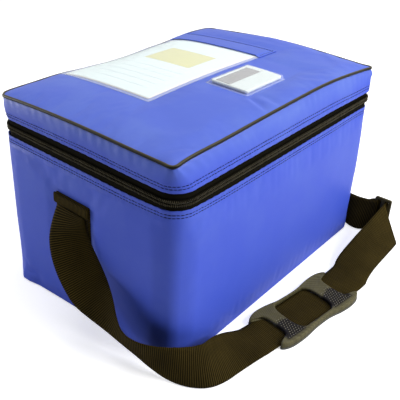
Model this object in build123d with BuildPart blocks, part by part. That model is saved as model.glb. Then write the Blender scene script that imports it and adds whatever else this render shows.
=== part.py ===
from build123d import *
import os

os.makedirs("parts", exist_ok=True)

# Soft insulated carrier with a zipped, padded lid and a webbing shoulder strap, in millimetres.
# X runs along the long side, -Y is the front, Z is up, and the origin is under the middle of the base.

# Bag
length = 410.0
width = 305.0
rim_height = 209.0
corner_radius = 25.0
base_flare = 9.0
fabric = 1.2
clearance = 0.2
sheet_gap = 0.1

# Insulation and lining
foam_wall = 25.0
foam_floor = 25.0
base_board_thickness = 3.0
liner_thickness = 0.8
liner_corner = 12.0
foam_setback = 3.8
setback_start = 5.0
binding_thickness = 0.4

# Zip
zip_band = 24.0
tape_thickness = 0.8
tape_inset = 1.4
tape_tuck = 5.0
coil_half = 3.0
coil_gap = 0.4
coil_back = 2.0
coil_proud = 1.4
zip_end = 150.0
hinge_end_gap = 2.0
slider_length = 14.0
slider_plate = 1.8
slider_corner = 3.0
slider_flange_length = 8.0
slider_overlap = 5.5
slider_spacing = 18.0
slider_home = 4.0
puller_length = 32.0
puller_width = 8.0
puller_thickness = 1.6
puller_corner = 1.5
puller_root = 0.4
lug_rise = 4.4
lug_bar = 1.8
lug_span = 8.0
ring_gap = 0.5
ring_wall = 1.0
ring_width = 2.4

# Lid
lid_overhang = 1.0
lid_band = 28.5
lid_draw_in = 5.8
lid_top_corner = 9.0
crown_radius = 2370.0
crown_rise = 12.8
piping_out = 1.5
piping_in = 1.0
piping_height = 1.8
piping_depth = 2.0

# Label pocket on the lid
card_length = 218.0
card_width = 155.0
card_x = -1.0
card_thickness = 0.5
card_float = 0.6
card_tuck = 3.0
window_margin = 6.0
window_setback = 6.9
window_gap = 0.8
film = 0.4
weld_width = 3.0
header_depth = 41.0
header_margin = 0.5
header_gap = 0.3
header_hem = 4.0

# Thermometer and its pouch
meter_length = 78.0
meter_width = 55.0
meter_thickness = 4.0
meter_corner = 4.0
meter_x = 17.0
meter_gap = 0.4
screen_length = 66.0
screen_width = 23.0
screen_depth = 0.8
screen_offset = 12.0
screen_shift = 3.0
screen_gap = 0.1
pouch_margin = 5.0
pouch_spacing = 10.3
pouch_sink = 1.0

# Strap
webbing_width = 50.0
webbing_thickness = 1.8
anchor_y = 12.0
anchor_top = 166.0
patch_width = 62.0
patch_height = 70.0
patch_thickness = 2.0
band_height = 14.0
band_thickness = 5.0
band_edge = 1.5

# Shoulder pad
pad_length = 157.0
pad_width = 67.0
pad_waist = 57.0
pad_sole = 3.0
pad_height = 10.5
pad_end_hollow = 20.0
pad_corner = 6.0
pad_window_length = 52.0
pad_window_bulge = 8.0
pad_window_shift = -3.0
pad_slot_side = 1.0
pad_slot_gap = 0.4
pad_centre = (-17.1, -208.4)
pad_turn = -8.0

# Slide adjuster
adjuster_x = 222.0
adjuster_start = -182.0
adjuster_length = 26.0
adjuster_height = 60.0
adjuster_thickness = 3.6
adjuster_bar = 3.4
adjuster_middle_bar = 5.0
adjuster_slot = 6.6
adjuster_foot = 0.4
adjuster_corner = 3.0

# Heights through the wall and the lid
base_board_low = fabric + clearance
foam_low = base_board_low + base_board_thickness + clearance
liner_floor_low = foam_low + foam_floor + clearance
seam_height = rim_height + zip_band / 2
binding_high = seam_height - coil_gap / 2 - sheet_gap
binding_low = binding_high - binding_thickness
wall_top = binding_low - sheet_gap
lid_liner_low = seam_height + coil_gap / 2 + sheet_gap
lid_foam_low = lid_liner_low + liner_thickness + sheet_gap
lid_low = rim_height + zip_band
lid_shoulder = lid_low + lid_band
crown_top = lid_shoulder + crown_rise
cavity_length = length - 2 * (fabric + clearance + foam_wall)
cavity_width = width - 2 * (fabric + clearance + foam_wall)
lid_length = length + 2 * lid_overhang
lid_width = width + 2 * lid_overhang
top_length = lid_length - 2 * lid_draw_in
top_width = lid_width - 2 * lid_draw_in


# Plan size of the bag at a height: the end walls lean out towards the base.
def plan_size(height, inset):
    flare = base_flare * max(0.0, 1 - height / rim_height)
    return length + 2 * flare - 2 * inset, width - 2 * inset


# Rounded block that follows the bag's walls between two heights.
def bag_block(low, high, inset):
    with BuildPart() as block:
        with BuildSketch(Plane.XY.offset(low)):
            RectangleRounded(*plan_size(low, inset), corner_radius - inset)
        with BuildSketch(Plane.XY.offset(high)):
            RectangleRounded(*plan_size(high, inset), corner_radius - inset)
        loft(ruled=True)
    return block.part


# Rounded block that follows the lid's drawn-in sides, tall enough to be cut by the crown.
def lid_block(inset):
    with BuildPart() as block:
        with BuildSketch(Plane.XY.offset(lid_low)):
            RectangleRounded(lid_length - 2 * inset, lid_width - 2 * inset, corner_radius + lid_overhang - inset)
        with BuildSketch(Plane.XY.offset(lid_shoulder)):
            RectangleRounded(top_length - 2 * inset, top_width - 2 * inset, lid_top_corner - inset)
        loft(ruled=True)
        extrude(block.faces().sort_by(Axis.Z)[-1], amount=2 * crown_rise)
    return block.part


# Ball whose top is the crowned surface of the lid, raised by an offset. Its poles point along Y.
def crown_ball(offset):
    ball = Sphere(crown_radius + offset, rotation=(90, 0, 0), mode=Mode.PRIVATE)
    return Pos(0, 0, crown_top - crown_radius) * ball


# Upright prism over a rectangle on the lid, between two offsets from the crowned surface.
def crowned_sheet(x_low, x_high, y_low, y_high, under, over, corner=0.0):
    with BuildPart() as sheet:
        with BuildSketch(Plane.XY.offset(lid_low)):
            with Locations(((x_low + x_high) / 2, (y_low + y_high) / 2)):
                if corner > 0:
                    RectangleRounded(x_high - x_low, y_high - y_low, corner)
                else:
                    Rectangle(x_high - x_low, y_high - y_low)
        extrude(amount=lid_band + 3 * crown_rise)
        add(crown_ball(over), mode=Mode.INTERSECT)
        add(crown_ball(under), mode=Mode.SUBTRACT)
    return sheet.part


# Box between two corners.
def box_between(low, high):
    size = [b - a for a, b in zip(low, high)]
    middle = [(a + b) / 2 for a, b in zip(low, high)]
    return Pos(*middle) * Box(*size, mode=Mode.PRIVATE)


# Plane on an end wall at a height: local X follows the wall, local Y goes up it, Z points out.
def end_wall(side, height):
    lean = base_flare / rim_height
    reach = length / 2 + base_flare * (1 - height / rim_height)
    return Plane(origin=(side * reach, 0, height), x_dir=(0, side, 0), z_dir=(side, 0, lean))


# Flat webbing through pairs of edge points, (outer, inner), with straight sides between them.
def ribbon(edges, thickness):
    pairs = [(Vector(*outer), Vector(*inner)) for outer, inner in edges]
    middles = [(outer + inner) * 0.5 for outer, inner in pairs]
    with BuildPart() as strip:
        for index, (outer, inner) in enumerate(pairs):
            ahead = middles[min(index + 1, len(pairs) - 1)] - middles[max(index - 1, 0)]
            across = outer - inner
            face_normal = across.cross(ahead)
            section = Plane(origin=middles[index], x_dir=across, z_dir=face_normal.cross(across))
            with BuildSketch(section):
                Rectangle(across.length, thickness)
        loft(ruled=True)
    return strip.part


# Webbing that stands on edge along a path in plan.
def standing_webbing(points, radius, low):
    with BuildPart() as strip:
        with BuildSketch(Plane.XY.offset(low)):
            with BuildLine():
                FilletPolyline(*points, radius=radius)
            trace(line_width=webbing_thickness)
        extrude(amount=webbing_width)
    return strip.part


def save(builder, name):
    builder.part.label = name
    export_step(builder.part, f"parts/{name}.step")


# Outer fabric: a base panel and one panel that wraps round all four sides.
with BuildPart() as base_panel:
    with BuildSketch():
        RectangleRounded(*plan_size(0, 0), corner_radius)
    extrude(amount=fabric)
save(base_panel, "base_panel")

with BuildPart() as body_panel:
    add(bag_block(fabric, rim_height, 0))
    add(bag_block(fabric, rim_height, fabric), mode=Mode.SUBTRACT)
save(body_panel, "body_panel")

# Stiff board that keeps the base flat.
with BuildPart() as base_board:
    with BuildSketch(Plane.XY.offset(base_board_low)):
        RectangleRounded(*plan_size(foam_low, fabric + clearance), corner_radius - fabric - clearance)
    extrude(amount=base_board_thickness)
save(base_board, "base_board")

# Insulation: a floor board and four wall boards, set back behind the zip.
with BuildPart() as foam_base:
    with BuildSketch(Plane.XY.offset(foam_low)):
        Rectangle(cavity_length - 2 * clearance, cavity_width - 2 * clearance)
    extrude(amount=foam_floor)
save(foam_base, "foam_base")

setback_low = rim_height - setback_start
with BuildPart() as foam_mass:
    add(bag_block(foam_low, setback_low, fabric + clearance))
    add(bag_block(setback_low, wall_top, foam_setback))
reach_x = length
reach_y = width
wall_regions = {
    "foam_front": ((-reach_x, -reach_y, 0), (reach_x, -cavity_width / 2, wall_top)),
    "foam_back": ((-reach_x, cavity_width / 2, 0), (reach_x, reach_y, wall_top)),
    "foam_left": (
        (-reach_x, clearance - cavity_width / 2, 0),
        (-cavity_length / 2, cavity_width / 2 - clearance, wall_top),
    ),
    "foam_right": (
        (cavity_length / 2, clearance - cavity_width / 2, 0),
        (reach_x, cavity_width / 2 - clearance, wall_top),
    ),
}
for board_name, (low, high) in wall_regions.items():
    with BuildPart() as foam_board:
        add(foam_mass.part)
        add(box_between(low, high), mode=Mode.INTERSECT)
    save(foam_board, board_name)

# Wipe-clean lining of the cavity.
liner_length = cavity_length - 2 * clearance
liner_width = cavity_width - 2 * clearance
with BuildPart() as liner:
    with BuildSketch(Plane.XY.offset(liner_floor_low)):
        RectangleRounded(liner_length, liner_width, liner_corner)
    extrude(amount=wall_top - liner_floor_low)
    with BuildSketch(Plane.XY.offset(liner_floor_low + liner_thickness)):
        RectangleRounded(
            liner_length - 2 * liner_thickness,
            liner_width - 2 * liner_thickness,
            liner_corner - liner_thickness,
        )
    extrude(amount=wall_top - liner_floor_low, mode=Mode.SUBTRACT)
save(liner, "liner")

# Binding that closes the top edge of the walls.
with BuildPart() as rim_binding:
    with BuildSketch(Plane.XY.offset(binding_low)):
        RectangleRounded(*plan_size(rim_height, foam_setback), corner_radius - foam_setback)
        RectangleRounded(
            liner_length - 2 * liner_thickness,
            liner_width - 2 * liner_thickness,
            liner_corner - liner_thickness,
            mode=Mode.SUBTRACT,
        )
    extrude(amount=binding_high - binding_low)
save(rim_binding, "rim_binding")


# One band of the zip: it runs round the front, both ends and the back corners.
def zip_ring(low, high, inset_outer, inset_inner, open_half):
    with BuildPart() as ring:
        with BuildSketch(Plane.XY.offset(low)):
            RectangleRounded(*plan_size(rim_height, inset_outer), corner_radius - inset_outer)
            RectangleRounded(*plan_size(rim_height, inset_inner), corner_radius - inset_inner, mode=Mode.SUBTRACT)
        extrude(amount=high - low)
        add(box_between((-open_half, 0, 0), (open_half, width, 2 * lid_low)), mode=Mode.SUBTRACT)
    return ring.part


coil_low = seam_height - coil_gap / 2 - coil_half
coil_high = seam_height + coil_gap / 2 + coil_half
tape_end = zip_end - 2 * tape_tuck
with BuildPart() as zip_tape_lower:
    add(zip_ring(rim_height - tape_tuck, coil_low - clearance, tape_inset, tape_inset + tape_thickness, tape_end))
save(zip_tape_lower, "zip_tape_lower")

with BuildPart() as zip_coil_lower:
    add(zip_ring(coil_low, coil_low + coil_half, -coil_proud, coil_back, zip_end))
save(zip_coil_lower, "zip_coil_lower")

with BuildPart() as zip_coil_upper:
    add(zip_ring(coil_high - coil_half, coil_high, -coil_proud, coil_back, zip_end))
save(zip_coil_upper, "zip_coil_upper")

with BuildPart() as zip_tape_upper:
    add(zip_ring(coil_high + clearance, lid_low + tape_tuck, tape_inset, tape_inset + tape_thickness, tape_end))
save(zip_tape_upper, "zip_tape_upper")

# Fabric hinge across the back, in the two halves that its fold makes.
hinge_half = zip_end - hinge_end_gap
hinge_low = rim_height + clearance
hinge_high = lid_low - clearance
fold_gap = coil_gap / 2
with BuildPart() as hinge_strip_lower:
    add(
        box_between(
            (-hinge_half, width / 2 - fabric, hinge_low),
            (hinge_half, width / 2, seam_height - fold_gap),
        )
    )
save(hinge_strip_lower, "hinge_strip_lower")

with BuildPart() as hinge_strip_upper:
    add(
        box_between(
            (-hinge_half, width / 2 - fabric, seam_height + fold_gap),
            (hinge_half, width / 2, hinge_high),
        )
    )
save(hinge_strip_upper, "hinge_strip_upper")

# Two zip sliders meet on the right end wall. Each has a plate, a lower flange, a lug and a hanging puller.
plate_low = length / 2 + coil_proud + clearance
plate_high = plate_low + slider_plate
lug_bar_x = plate_high + lug_rise - lug_bar / 2
ring_hole = lug_bar / 2 + ring_gap
ring_outer = ring_hole + ring_wall
for slider_name, slider_y in (("front", slider_home), ("back", slider_home + slider_spacing)):
    with BuildPart() as zip_slider:
        with BuildSketch(Plane.YZ.offset(plate_low)):
            with Locations((slider_y, seam_height)):
                RectangleRounded(slider_length, 2 * slider_overlap, slider_corner)
        extrude(amount=slider_plate)
        flange_high = coil_low - clearance
        flange_low = seam_height - slider_overlap
        with BuildSketch(Plane.YZ.offset(plate_low - coil_proud)):
            with Locations((slider_y, (flange_low + flange_high) / 2)):
                Rectangle(slider_flange_length, flange_high - flange_low)
        extrude(amount=plate_high - plate_low + coil_proud)
        with BuildSketch(Plane.XY.offset(seam_height - lug_bar / 2)):
            with Locations((plate_high + lug_rise / 2, slider_y)):
                Rectangle(lug_rise, lug_span)
                Rectangle(lug_rise, lug_span - 2 * lug_bar, mode=Mode.SUBTRACT)
            with Locations((lug_bar_x, slider_y)):
                Rectangle(lug_bar, lug_span)
        extrude(amount=lug_bar)
    save(zip_slider, f"zip_slider_{slider_name}")

    with BuildPart() as zip_puller:
        with BuildSketch(Plane.XZ.offset(-slider_y)):
            with Locations((lug_bar_x, seam_height)):
                Circle(ring_outer)
                Circle(ring_hole, mode=Mode.SUBTRACT)
        extrude(amount=ring_width / 2, both=True)
        with BuildSketch(Plane.YZ.offset(lug_bar_x - puller_thickness / 2)):
            with Locations((slider_y, seam_height - ring_outer - puller_length / 2 + puller_root)):
                RectangleRounded(puller_width, puller_length, puller_corner)
        extrude(amount=puller_thickness)
    save(zip_puller, f"zip_puller_{slider_name}")

# Lid: a drawn-in side band, a crowned top panel and the piping between them.
band_top = -piping_depth - clearance
with BuildPart() as lid_band_panel:
    add(lid_block(0))
    add(lid_block(fabric), mode=Mode.SUBTRACT)
    add(crown_ball(band_top), mode=Mode.INTERSECT)
save(lid_band_panel, "lid_band")

with BuildPart() as lid_top:
    add(
        crowned_sheet(
            piping_in + clearance - top_length / 2,
            top_length / 2 - piping_in - clearance,
            piping_in + clearance - top_width / 2,
            top_width / 2 - piping_in - clearance,
            -fabric,
            0,
            lid_top_corner - piping_in - clearance,
        )
    )
save(lid_top, "lid_top")

with BuildPart() as lid_piping:
    add(
        crowned_sheet(
            -top_length / 2 - piping_out,
            top_length / 2 + piping_out,
            -top_width / 2 - piping_out,
            top_width / 2 + piping_out,
            -piping_depth,
            piping_height,
            lid_top_corner + piping_out,
        )
    )
    with BuildSketch(Plane.XY.offset(lid_low)):
        RectangleRounded(top_length - 2 * piping_in, top_width - 2 * piping_in, lid_top_corner - piping_in)
    extrude(amount=lid_band + 3 * crown_rise, mode=Mode.SUBTRACT)
save(lid_piping, "lid_piping")

# Insulation pad and lining of the lid.
with BuildPart() as lid_foam:
    with BuildSketch(Plane.XY.offset(lid_foam_low)):
        RectangleRounded(*plan_size(rim_height, foam_setback), corner_radius - foam_setback)
    extrude(amount=lid_low + setback_start - lid_foam_low)
    add(lid_block(tape_inset + tape_thickness + clearance + lid_overhang))
    add(crown_ball(-fabric - clearance), mode=Mode.INTERSECT)
save(lid_foam, "lid_foam")

with BuildPart() as lid_liner:
    with BuildSketch(Plane.XY.offset(lid_liner_low)):
        RectangleRounded(*plan_size(rim_height, foam_setback), corner_radius - foam_setback)
    extrude(amount=liner_thickness)
save(lid_liner, "lid_liner")

# Clear window pocket with its card, and the sewn header that covers the card's end.
card_left = card_x - card_length / 2
card_right = card_x + card_length / 2
card_back = top_width / 2 - window_setback - window_margin
card_front = card_back - card_width
card_top = card_float + card_thickness
window_low = card_top + window_gap
window_high = window_low + film
window_left = card_left - window_margin
window_right = card_right + card_tuck
window_front = card_front - window_margin
window_back = card_back + window_margin
with BuildPart() as label_window:
    add(crowned_sheet(window_left, window_right, window_front, window_back, clearance, window_high))
    add(
        crowned_sheet(
            window_left + weld_width,
            window_right + weld_width,
            window_front + weld_width,
            window_back - weld_width,
            0,
            window_low,
        ),
        mode=Mode.SUBTRACT,
    )
save(label_window, "label_window")

with BuildPart() as label_card:
    add(crowned_sheet(card_left, card_right, card_front, card_back, card_float, card_top))
save(label_card, "label_card")

header_low = window_high + header_gap
header_high = header_low + fabric
header_left = card_right - card_tuck
header_right = header_left + header_depth
header_front = window_front - header_margin
header_back = window_back + header_margin
with BuildPart() as header_strip:
    add(crowned_sheet(header_left, header_right, header_front, header_back, header_low, header_high))
    hem_start = window_right + clearance
    add(crowned_sheet(hem_start, header_right, header_front, header_front + header_hem, clearance, header_low))
    add(crowned_sheet(hem_start, header_right, header_back - header_hem, header_back, clearance, header_low))
    add(crowned_sheet(header_right - header_hem, header_right, header_front, header_back, clearance, header_low))
save(header_strip, "header_strip")

# Thermometer in a clear pouch, in front of the window and open towards the right end.
meter_y = window_front - pouch_spacing - pouch_margin - meter_width / 2
meter_drop = (meter_x**2 + meter_y**2) / (2 * crown_radius)
meter_up = Vector(meter_x, meter_y, crown_radius - meter_drop)
meter_seat = Vector(0, 0, crown_top - crown_radius) + meter_up.normalized() * (crown_radius + meter_gap)
meter_plane = Plane(origin=meter_seat, x_dir=(1, 0, -meter_x / crown_radius), z_dir=meter_up)
with BuildPart() as thermometer_case:
    with BuildSketch(meter_plane):
        RectangleRounded(meter_length, meter_width, meter_corner)
    extrude(amount=meter_thickness)
    with BuildSketch(meter_plane.offset(meter_thickness - screen_depth)):
        with Locations((screen_shift - (meter_length - screen_length) / 2, screen_offset)):
            Rectangle(screen_length, screen_width)
    extrude(amount=screen_depth, mode=Mode.SUBTRACT)
save(thermometer_case, "thermometer_case")

with BuildPart() as thermometer_screen:
    with BuildSketch(meter_plane.offset(meter_thickness - screen_depth)):
        with Locations((screen_shift - (meter_length - screen_length) / 2, screen_offset)):
            Rectangle(screen_length - 2 * screen_gap, screen_width - 2 * screen_gap)
    extrude(amount=screen_depth - screen_gap)
save(thermometer_screen, "thermometer_screen")

pouch_length = meter_length + 2 * pouch_margin
pouch_width = meter_width + 2 * pouch_margin
pouch_roof = meter_thickness + 2 * clearance
with BuildPart() as thermometer_pouch:
    with BuildSketch(meter_plane):
        with Locations((-pouch_margin / 2, 0)):
            Rectangle(pouch_length - pouch_margin, pouch_width)
    extrude(amount=pouch_roof + film)
    with BuildSketch(meter_plane.offset(-pouch_sink)):
        with Locations((pouch_margin / 2, 0)):
            Rectangle(pouch_length - pouch_margin, pouch_width - 2 * (pouch_margin - 2 * clearance))
    extrude(amount=pouch_roof + pouch_sink, mode=Mode.SUBTRACT)
save(thermometer_pouch, "thermometer_pouch")

# Strap anchors: a stitched patch on each end wall and the folded band that holds the webbing.
for side, side_name in ((-1, "left"), (1, "right")):
    patch_plane = end_wall(side, anchor_top - patch_height / 2)
    band_plane = end_wall(side, anchor_top - band_height / 2)
    with BuildPart() as anchor_patch:
        with BuildSketch(patch_plane):
            with Locations((side * anchor_y, 0)):
                Rectangle(patch_width, patch_height)
        extrude(amount=patch_thickness)
    save(anchor_patch, f"anchor_patch_{side_name}")

    with BuildPart() as anchor_band:
        with BuildSketch(band_plane.offset(patch_thickness)):
            with Locations((side * anchor_y, 0)):
                Rectangle(patch_width, band_height)
        extrude(amount=band_thickness)
        fillet(anchor_band.faces().sort_by(Axis.X)[0 if side < 0 else -1].edges(), band_edge)
    save(anchor_band, f"anchor_band_{side_name}")

# Main strap, from the left anchor round the front corner, under the pad and up to the fold at the adjuster.
# Each pair is the lower or outer edge, then the upper or inner edge.
pad_seat = pad_sole + pad_slot_gap + webbing_thickness / 2
main_route = (
    ((-212.5, 37, 151), (-212.5, -13, 151)),
    ((-234, 29, 130), (-213.5, -15, 139)),
    ((-246, 15, 109), (-213, -21, 124)),
    ((-252, -1, 91), (-213, -31, 109)),
    ((-255, -18, 75), (-216, -44, 98)),
    ((-254, -33, 58), (-222, -60, 89)),
    ((-247, -51, 45), (-231, -77, 81)),
    ((-239, -70, 32), (-241, -92, 71)),
    ((-234, -90, 21), (-247, -106, 59)),
    ((-230, -110, 13), (-245, -124, 55)),
    ((-228, -133, 6), (-236, -144, 54)),
    ((-225, -157, 2), (-222, -159, 52)),
    ((-217, -180, 1.2), (-205, -170, 48)),
    ((-202, -199, 1.2), (-187, -176, 43)),
    ((-182, -207, 1.2), (-168.5, -171, 36)),
    ((-160, -210, 1.5), (-150, -167.5, 26)),
    ((-141, -213.5, 2.5), (-131.5, -166.5, 16)),
    ((-125.2, -217, 3.8), (-117.7, -168.5, 9)),
    ((-110.6, -220.7, pad_seat), (-103.6, -171.2, pad_seat)),
    ((77.4, -246.7, pad_seat), (84.4, -197.2, pad_seat)),
    ((95, -243, 3.5), (101, -194, 10)),
    ((117, -239, 2.5), (122, -192, 20)),
    ((143, -236, 1.5), (146, -192.5, 28)),
    ((174, -235, 1.2), (178, -194, 37)),
    ((207, -233, 1.2), (216, -198.5, 53)),
)
slot_low = adjuster_foot + (adjuster_height - webbing_width) / 2
face_x = adjuster_x - adjuster_thickness / 2
far_x = adjuster_x + adjuster_thickness / 2
outer_slot_y = adjuster_start - 1.5 * adjuster_slot - adjuster_bar - adjuster_middle_bar
inner_slot_y = adjuster_start - adjuster_bar - adjuster_slot / 2
fold_toe = Vector(*main_route[-1][0])
fold_top = Vector(*main_route[-1][1])
fold_heel = Vector(fold_top.X, fold_top.Y, slot_low)
flap_normal = (fold_toe - fold_heel).cross(fold_top - fold_heel)
flap_plane = Plane(origin=fold_heel, x_dir=fold_toe - fold_heel, z_dir=flap_normal)
flap_corners = [flap_plane.to_local_coords(corner) for corner in (fold_heel, fold_toe, fold_top)]
tail_x = far_x + 2 * webbing_thickness + 3 * clearance
with BuildPart() as strap_main:
    add(ribbon(main_route, webbing_thickness))
    with BuildSketch(flap_plane):
        with BuildLine():
            Polyline(*[(corner.X, corner.Y) for corner in flap_corners], close=True)
        make_face()
    extrude(amount=webbing_thickness / 2, both=True)
    add(
        standing_webbing(
            (
                (fold_heel.X, fold_heel.Y),
                (face_x - 1.2, outer_slot_y),
                (tail_x, outer_slot_y),
                (tail_x, adjuster_start + 34),
            ),
            0.9,
            slot_low,
        )
    )
save(strap_main, "strap_main")

# Short strap, from the right anchor forward along the end wall to a sewn loop on the adjuster.
short_route = (
    ((212.5, 37, 151), (212.5, -13, 151)),
    ((222, 30, 125), (222, -18, 141)),
    ((225, 16, 99), (225, -26, 126)),
    ((225, -1, 78), (224, -38, 111)),
    ((224, -20, 59), (222, -53, 97)),
    ((223, -40, 43), (220, -69, 84)),
    ((221, -62, 29), (218, -86, 73)),
    ((219.5, -86, 17), (217, -104, 63)),
    ((218, -113, 8), (217, -121, 57)),
    ((218, -140, slot_low), (218, -140, slot_low + webbing_width)),
    ((219, -160, slot_low), (219, -160, slot_low + webbing_width)),
)
loop_root = (219, -159.5)
loop_near_x = face_x - webbing_thickness / 2 - clearance
loop_far_x = far_x + webbing_thickness / 2 + clearance
with BuildPart() as strap_short:
    add(ribbon(short_route, webbing_thickness))
    add(
        standing_webbing(
            (
                loop_root,
                (loop_near_x, adjuster_start + 6),
                (loop_near_x, inner_slot_y),
                (loop_far_x, inner_slot_y),
                (loop_far_x, adjuster_start + 4),
                (loop_near_x + 2.2, adjuster_start + 12),
                (loop_root[0] + 2.0, loop_root[1]),
            ),
            0.95,
            slot_low,
        )
    )
save(strap_short, "strap_short")

# Slide adjuster: a three-bar frame that stands on edge.
with BuildPart() as slide_adjuster:
    with BuildSketch(Plane.YZ.offset(face_x)):
        with Locations((adjuster_start - adjuster_length / 2, adjuster_foot + adjuster_height / 2)):
            RectangleRounded(adjuster_length, adjuster_height, adjuster_corner)
        for slot_y in (inner_slot_y, outer_slot_y):
            with Locations((slot_y, slot_low + webbing_width / 2)):
                Rectangle(adjuster_slot, webbing_width + 2 * pad_slot_side, mode=Mode.SUBTRACT)
    extrude(amount=adjuster_thickness)
save(slide_adjuster, "slide_adjuster")

# Shoulder pad: a sole and a moulded top with two bridges over the webbing and a window between them.
pad_plane = Plane(origin=(pad_centre[0], pad_centre[1], 0)).rotated((0, 0, pad_turn))


# Plan outline of the pad: rounded lobes beside each hollow end, and long sides that draw in to the waist.
def pad_outline():
    half = pad_length / 2
    side = pad_width / 2
    waist = pad_waist / 2
    mouth = side - pad_corner
    with BuildSketch() as outline:
        with BuildLine():
            RadiusArc((half, mouth), (half - pad_corner, side), -pad_corner)
            mirror(about=Plane.YZ)
            mirror(about=Plane.XZ)
            hollow = ThreePointArc((half, -mouth), (half - pad_end_hollow, 0), (half, mouth))
            mirror(hollow, about=Plane.YZ)
            edge = ThreePointArc((half - pad_corner, side), (0, waist), (pad_corner - half, side))
            mirror(edge, about=Plane.XZ)
        make_face()
        tips = outline.vertices().group_by(Axis.X)
        fillet(tips[0] + tips[-1], pad_corner / 2)
    return outline.sketch


# The window's long sides follow the slot, and its ends bow outwards.
def pad_window():
    half = pad_window_length / 2
    side = webbing_width / 2 + pad_slot_side
    with BuildSketch() as window:
        with BuildLine():
            ThreePointArc((half, -side), (half + pad_window_bulge, 0), (half, side))
            Line((half, side), (-half, side))
            ThreePointArc((-half, side), (-half - pad_window_bulge, 0), (-half, -side))
            Line((-half, -side), (half, -side))
        make_face()
    return window.sketch


with BuildPart() as pad_sole_part:
    with BuildSketch(pad_plane):
        add(pad_outline())
    extrude(amount=pad_sole)
save(pad_sole_part, "pad_sole")

with BuildPart() as pad_top:
    with BuildSketch(pad_plane.offset(pad_sole)):
        add(pad_outline())
    extrude(amount=pad_height - pad_sole)
    with BuildSketch(pad_plane.offset(pad_sole)):
        Rectangle(2 * pad_length, webbing_width + 2 * pad_slot_side)
    extrude(amount=webbing_thickness + 2 * pad_slot_gap, mode=Mode.SUBTRACT)
    with BuildSketch(pad_plane.offset(pad_sole)):
        with Locations((pad_window_shift, 0)):
            add(pad_window())
    extrude(amount=pad_height, mode=Mode.SUBTRACT)
save(pad_top, "pad_top")
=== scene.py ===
import bmesh
import bpy
import math
import numpy as np
from mathutils import Matrix, Vector, noise


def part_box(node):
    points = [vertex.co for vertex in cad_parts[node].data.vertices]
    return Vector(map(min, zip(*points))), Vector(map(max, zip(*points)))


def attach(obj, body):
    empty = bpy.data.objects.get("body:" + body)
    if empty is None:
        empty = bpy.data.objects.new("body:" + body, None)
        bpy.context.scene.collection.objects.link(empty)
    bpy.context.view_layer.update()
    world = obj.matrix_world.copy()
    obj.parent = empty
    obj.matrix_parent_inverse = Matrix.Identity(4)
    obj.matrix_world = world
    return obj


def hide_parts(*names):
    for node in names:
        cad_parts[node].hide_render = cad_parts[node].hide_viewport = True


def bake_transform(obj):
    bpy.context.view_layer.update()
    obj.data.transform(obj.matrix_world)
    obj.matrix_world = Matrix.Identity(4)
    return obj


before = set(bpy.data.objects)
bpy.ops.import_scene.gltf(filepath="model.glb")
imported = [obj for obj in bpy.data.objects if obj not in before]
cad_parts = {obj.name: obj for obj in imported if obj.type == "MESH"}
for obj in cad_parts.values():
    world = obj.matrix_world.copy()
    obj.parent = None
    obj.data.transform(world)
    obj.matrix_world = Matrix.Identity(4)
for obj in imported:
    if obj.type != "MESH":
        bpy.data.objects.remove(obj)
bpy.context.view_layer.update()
mm = 0.001
print("frame loaded:", len(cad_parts), "nodes")

# angles in degrees, place in metres, lens and sensor in mm
camera = {
    "azimuth": -48.178,
    "elevation": 30.445,
    "roll": 0.433,
    "place": (-0.573358, -0.481236, 0.534321),
    "lens": 53.716,
    "sensor": 36.0,
    "shift": (0.0563, -0.0267),
}


def putInScene(name, data):
    thing = bpy.data.objects.new(name, data)
    bpy.context.scene.collection.objects.link(thing)
    return thing


def placeCamera():
    around, up, roll = (math.radians(camera[key]) for key in ("azimuth", "elevation", "roll"))
    back = Vector((math.sin(around) * math.cos(up), -math.cos(around) * math.cos(up), math.sin(up)))
    right = Vector((0, 0, 1)).cross(back).normalized()
    above = back.cross(right)
    rightRolled = right * math.cos(roll) + above * math.sin(roll)
    aboveRolled = above * math.cos(roll) - right * math.sin(roll)
    turn = Matrix((rightRolled, aboveRolled, back)).transposed().to_4x4()
    lens = bpy.data.cameras.new("camera")
    lens.lens = camera["lens"]
    lens.sensor_width = camera["sensor"]
    lens.shift_x, lens.shift_y = camera["shift"]
    lens.clip_start = 0.01
    eye = putInScene("camera", lens)
    eye.matrix_world = Matrix.Translation(camera["place"]) @ turn
    bpy.context.scene.camera = eye


placeCamera()


# a flat map of a piece's cloth in mm, with one place for each point
def mapCloth(mesh, uv):
    layer = mesh.uv_layers.new(name="cloth")
    corners = np.zeros(len(mesh.loops), np.int32)
    mesh.loops.foreach_get("vertex_index", corners)
    layer.data.foreach_set("uv", np.asarray(uv, np.float32)[corners].ravel())


def repaint(mesh, material):
    mesh.materials.clear()
    mesh.materials.append(material)


def smoothFaces(mesh):
    mesh.polygons.foreach_set("use_smooth", [True] * len(mesh.polygons))


# a mesh object at the origin, from points in metres
def addPiece(name, points, faces, material=None, smooth=True, uv=None):
    mesh = bpy.data.meshes.new(name)
    mesh.from_pydata([tuple(p) for p in points], [], [tuple(int(i) for i in face) for face in faces])
    mesh.validate()
    if smooth:
        smoothFaces(mesh)
    if uv is not None:
        mapCloth(mesh, uv)
    mesh.update()
    if material:
        mesh.materials.append(material)
    return putInScene(name, mesh)


# a new mesh from an object with its modifiers applied
def appliedMesh(holder):
    depsgraph = bpy.context.evaluated_depsgraph_get()
    return bpy.data.meshes.new_from_object(holder.evaluated_get(depsgraph), depsgraph=depsgraph)


# moves a piece's points by a function that takes and gives them in mm
def movePoints(piece, move):
    spots = np.zeros(len(piece.data.vertices) * 3)
    piece.data.vertices.foreach_get("co", spots)
    placed = move(spots.reshape(-1, 3) / mm) * mm
    piece.data.vertices.foreach_set("co", placed.ravel())
    piece.data.update()


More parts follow.
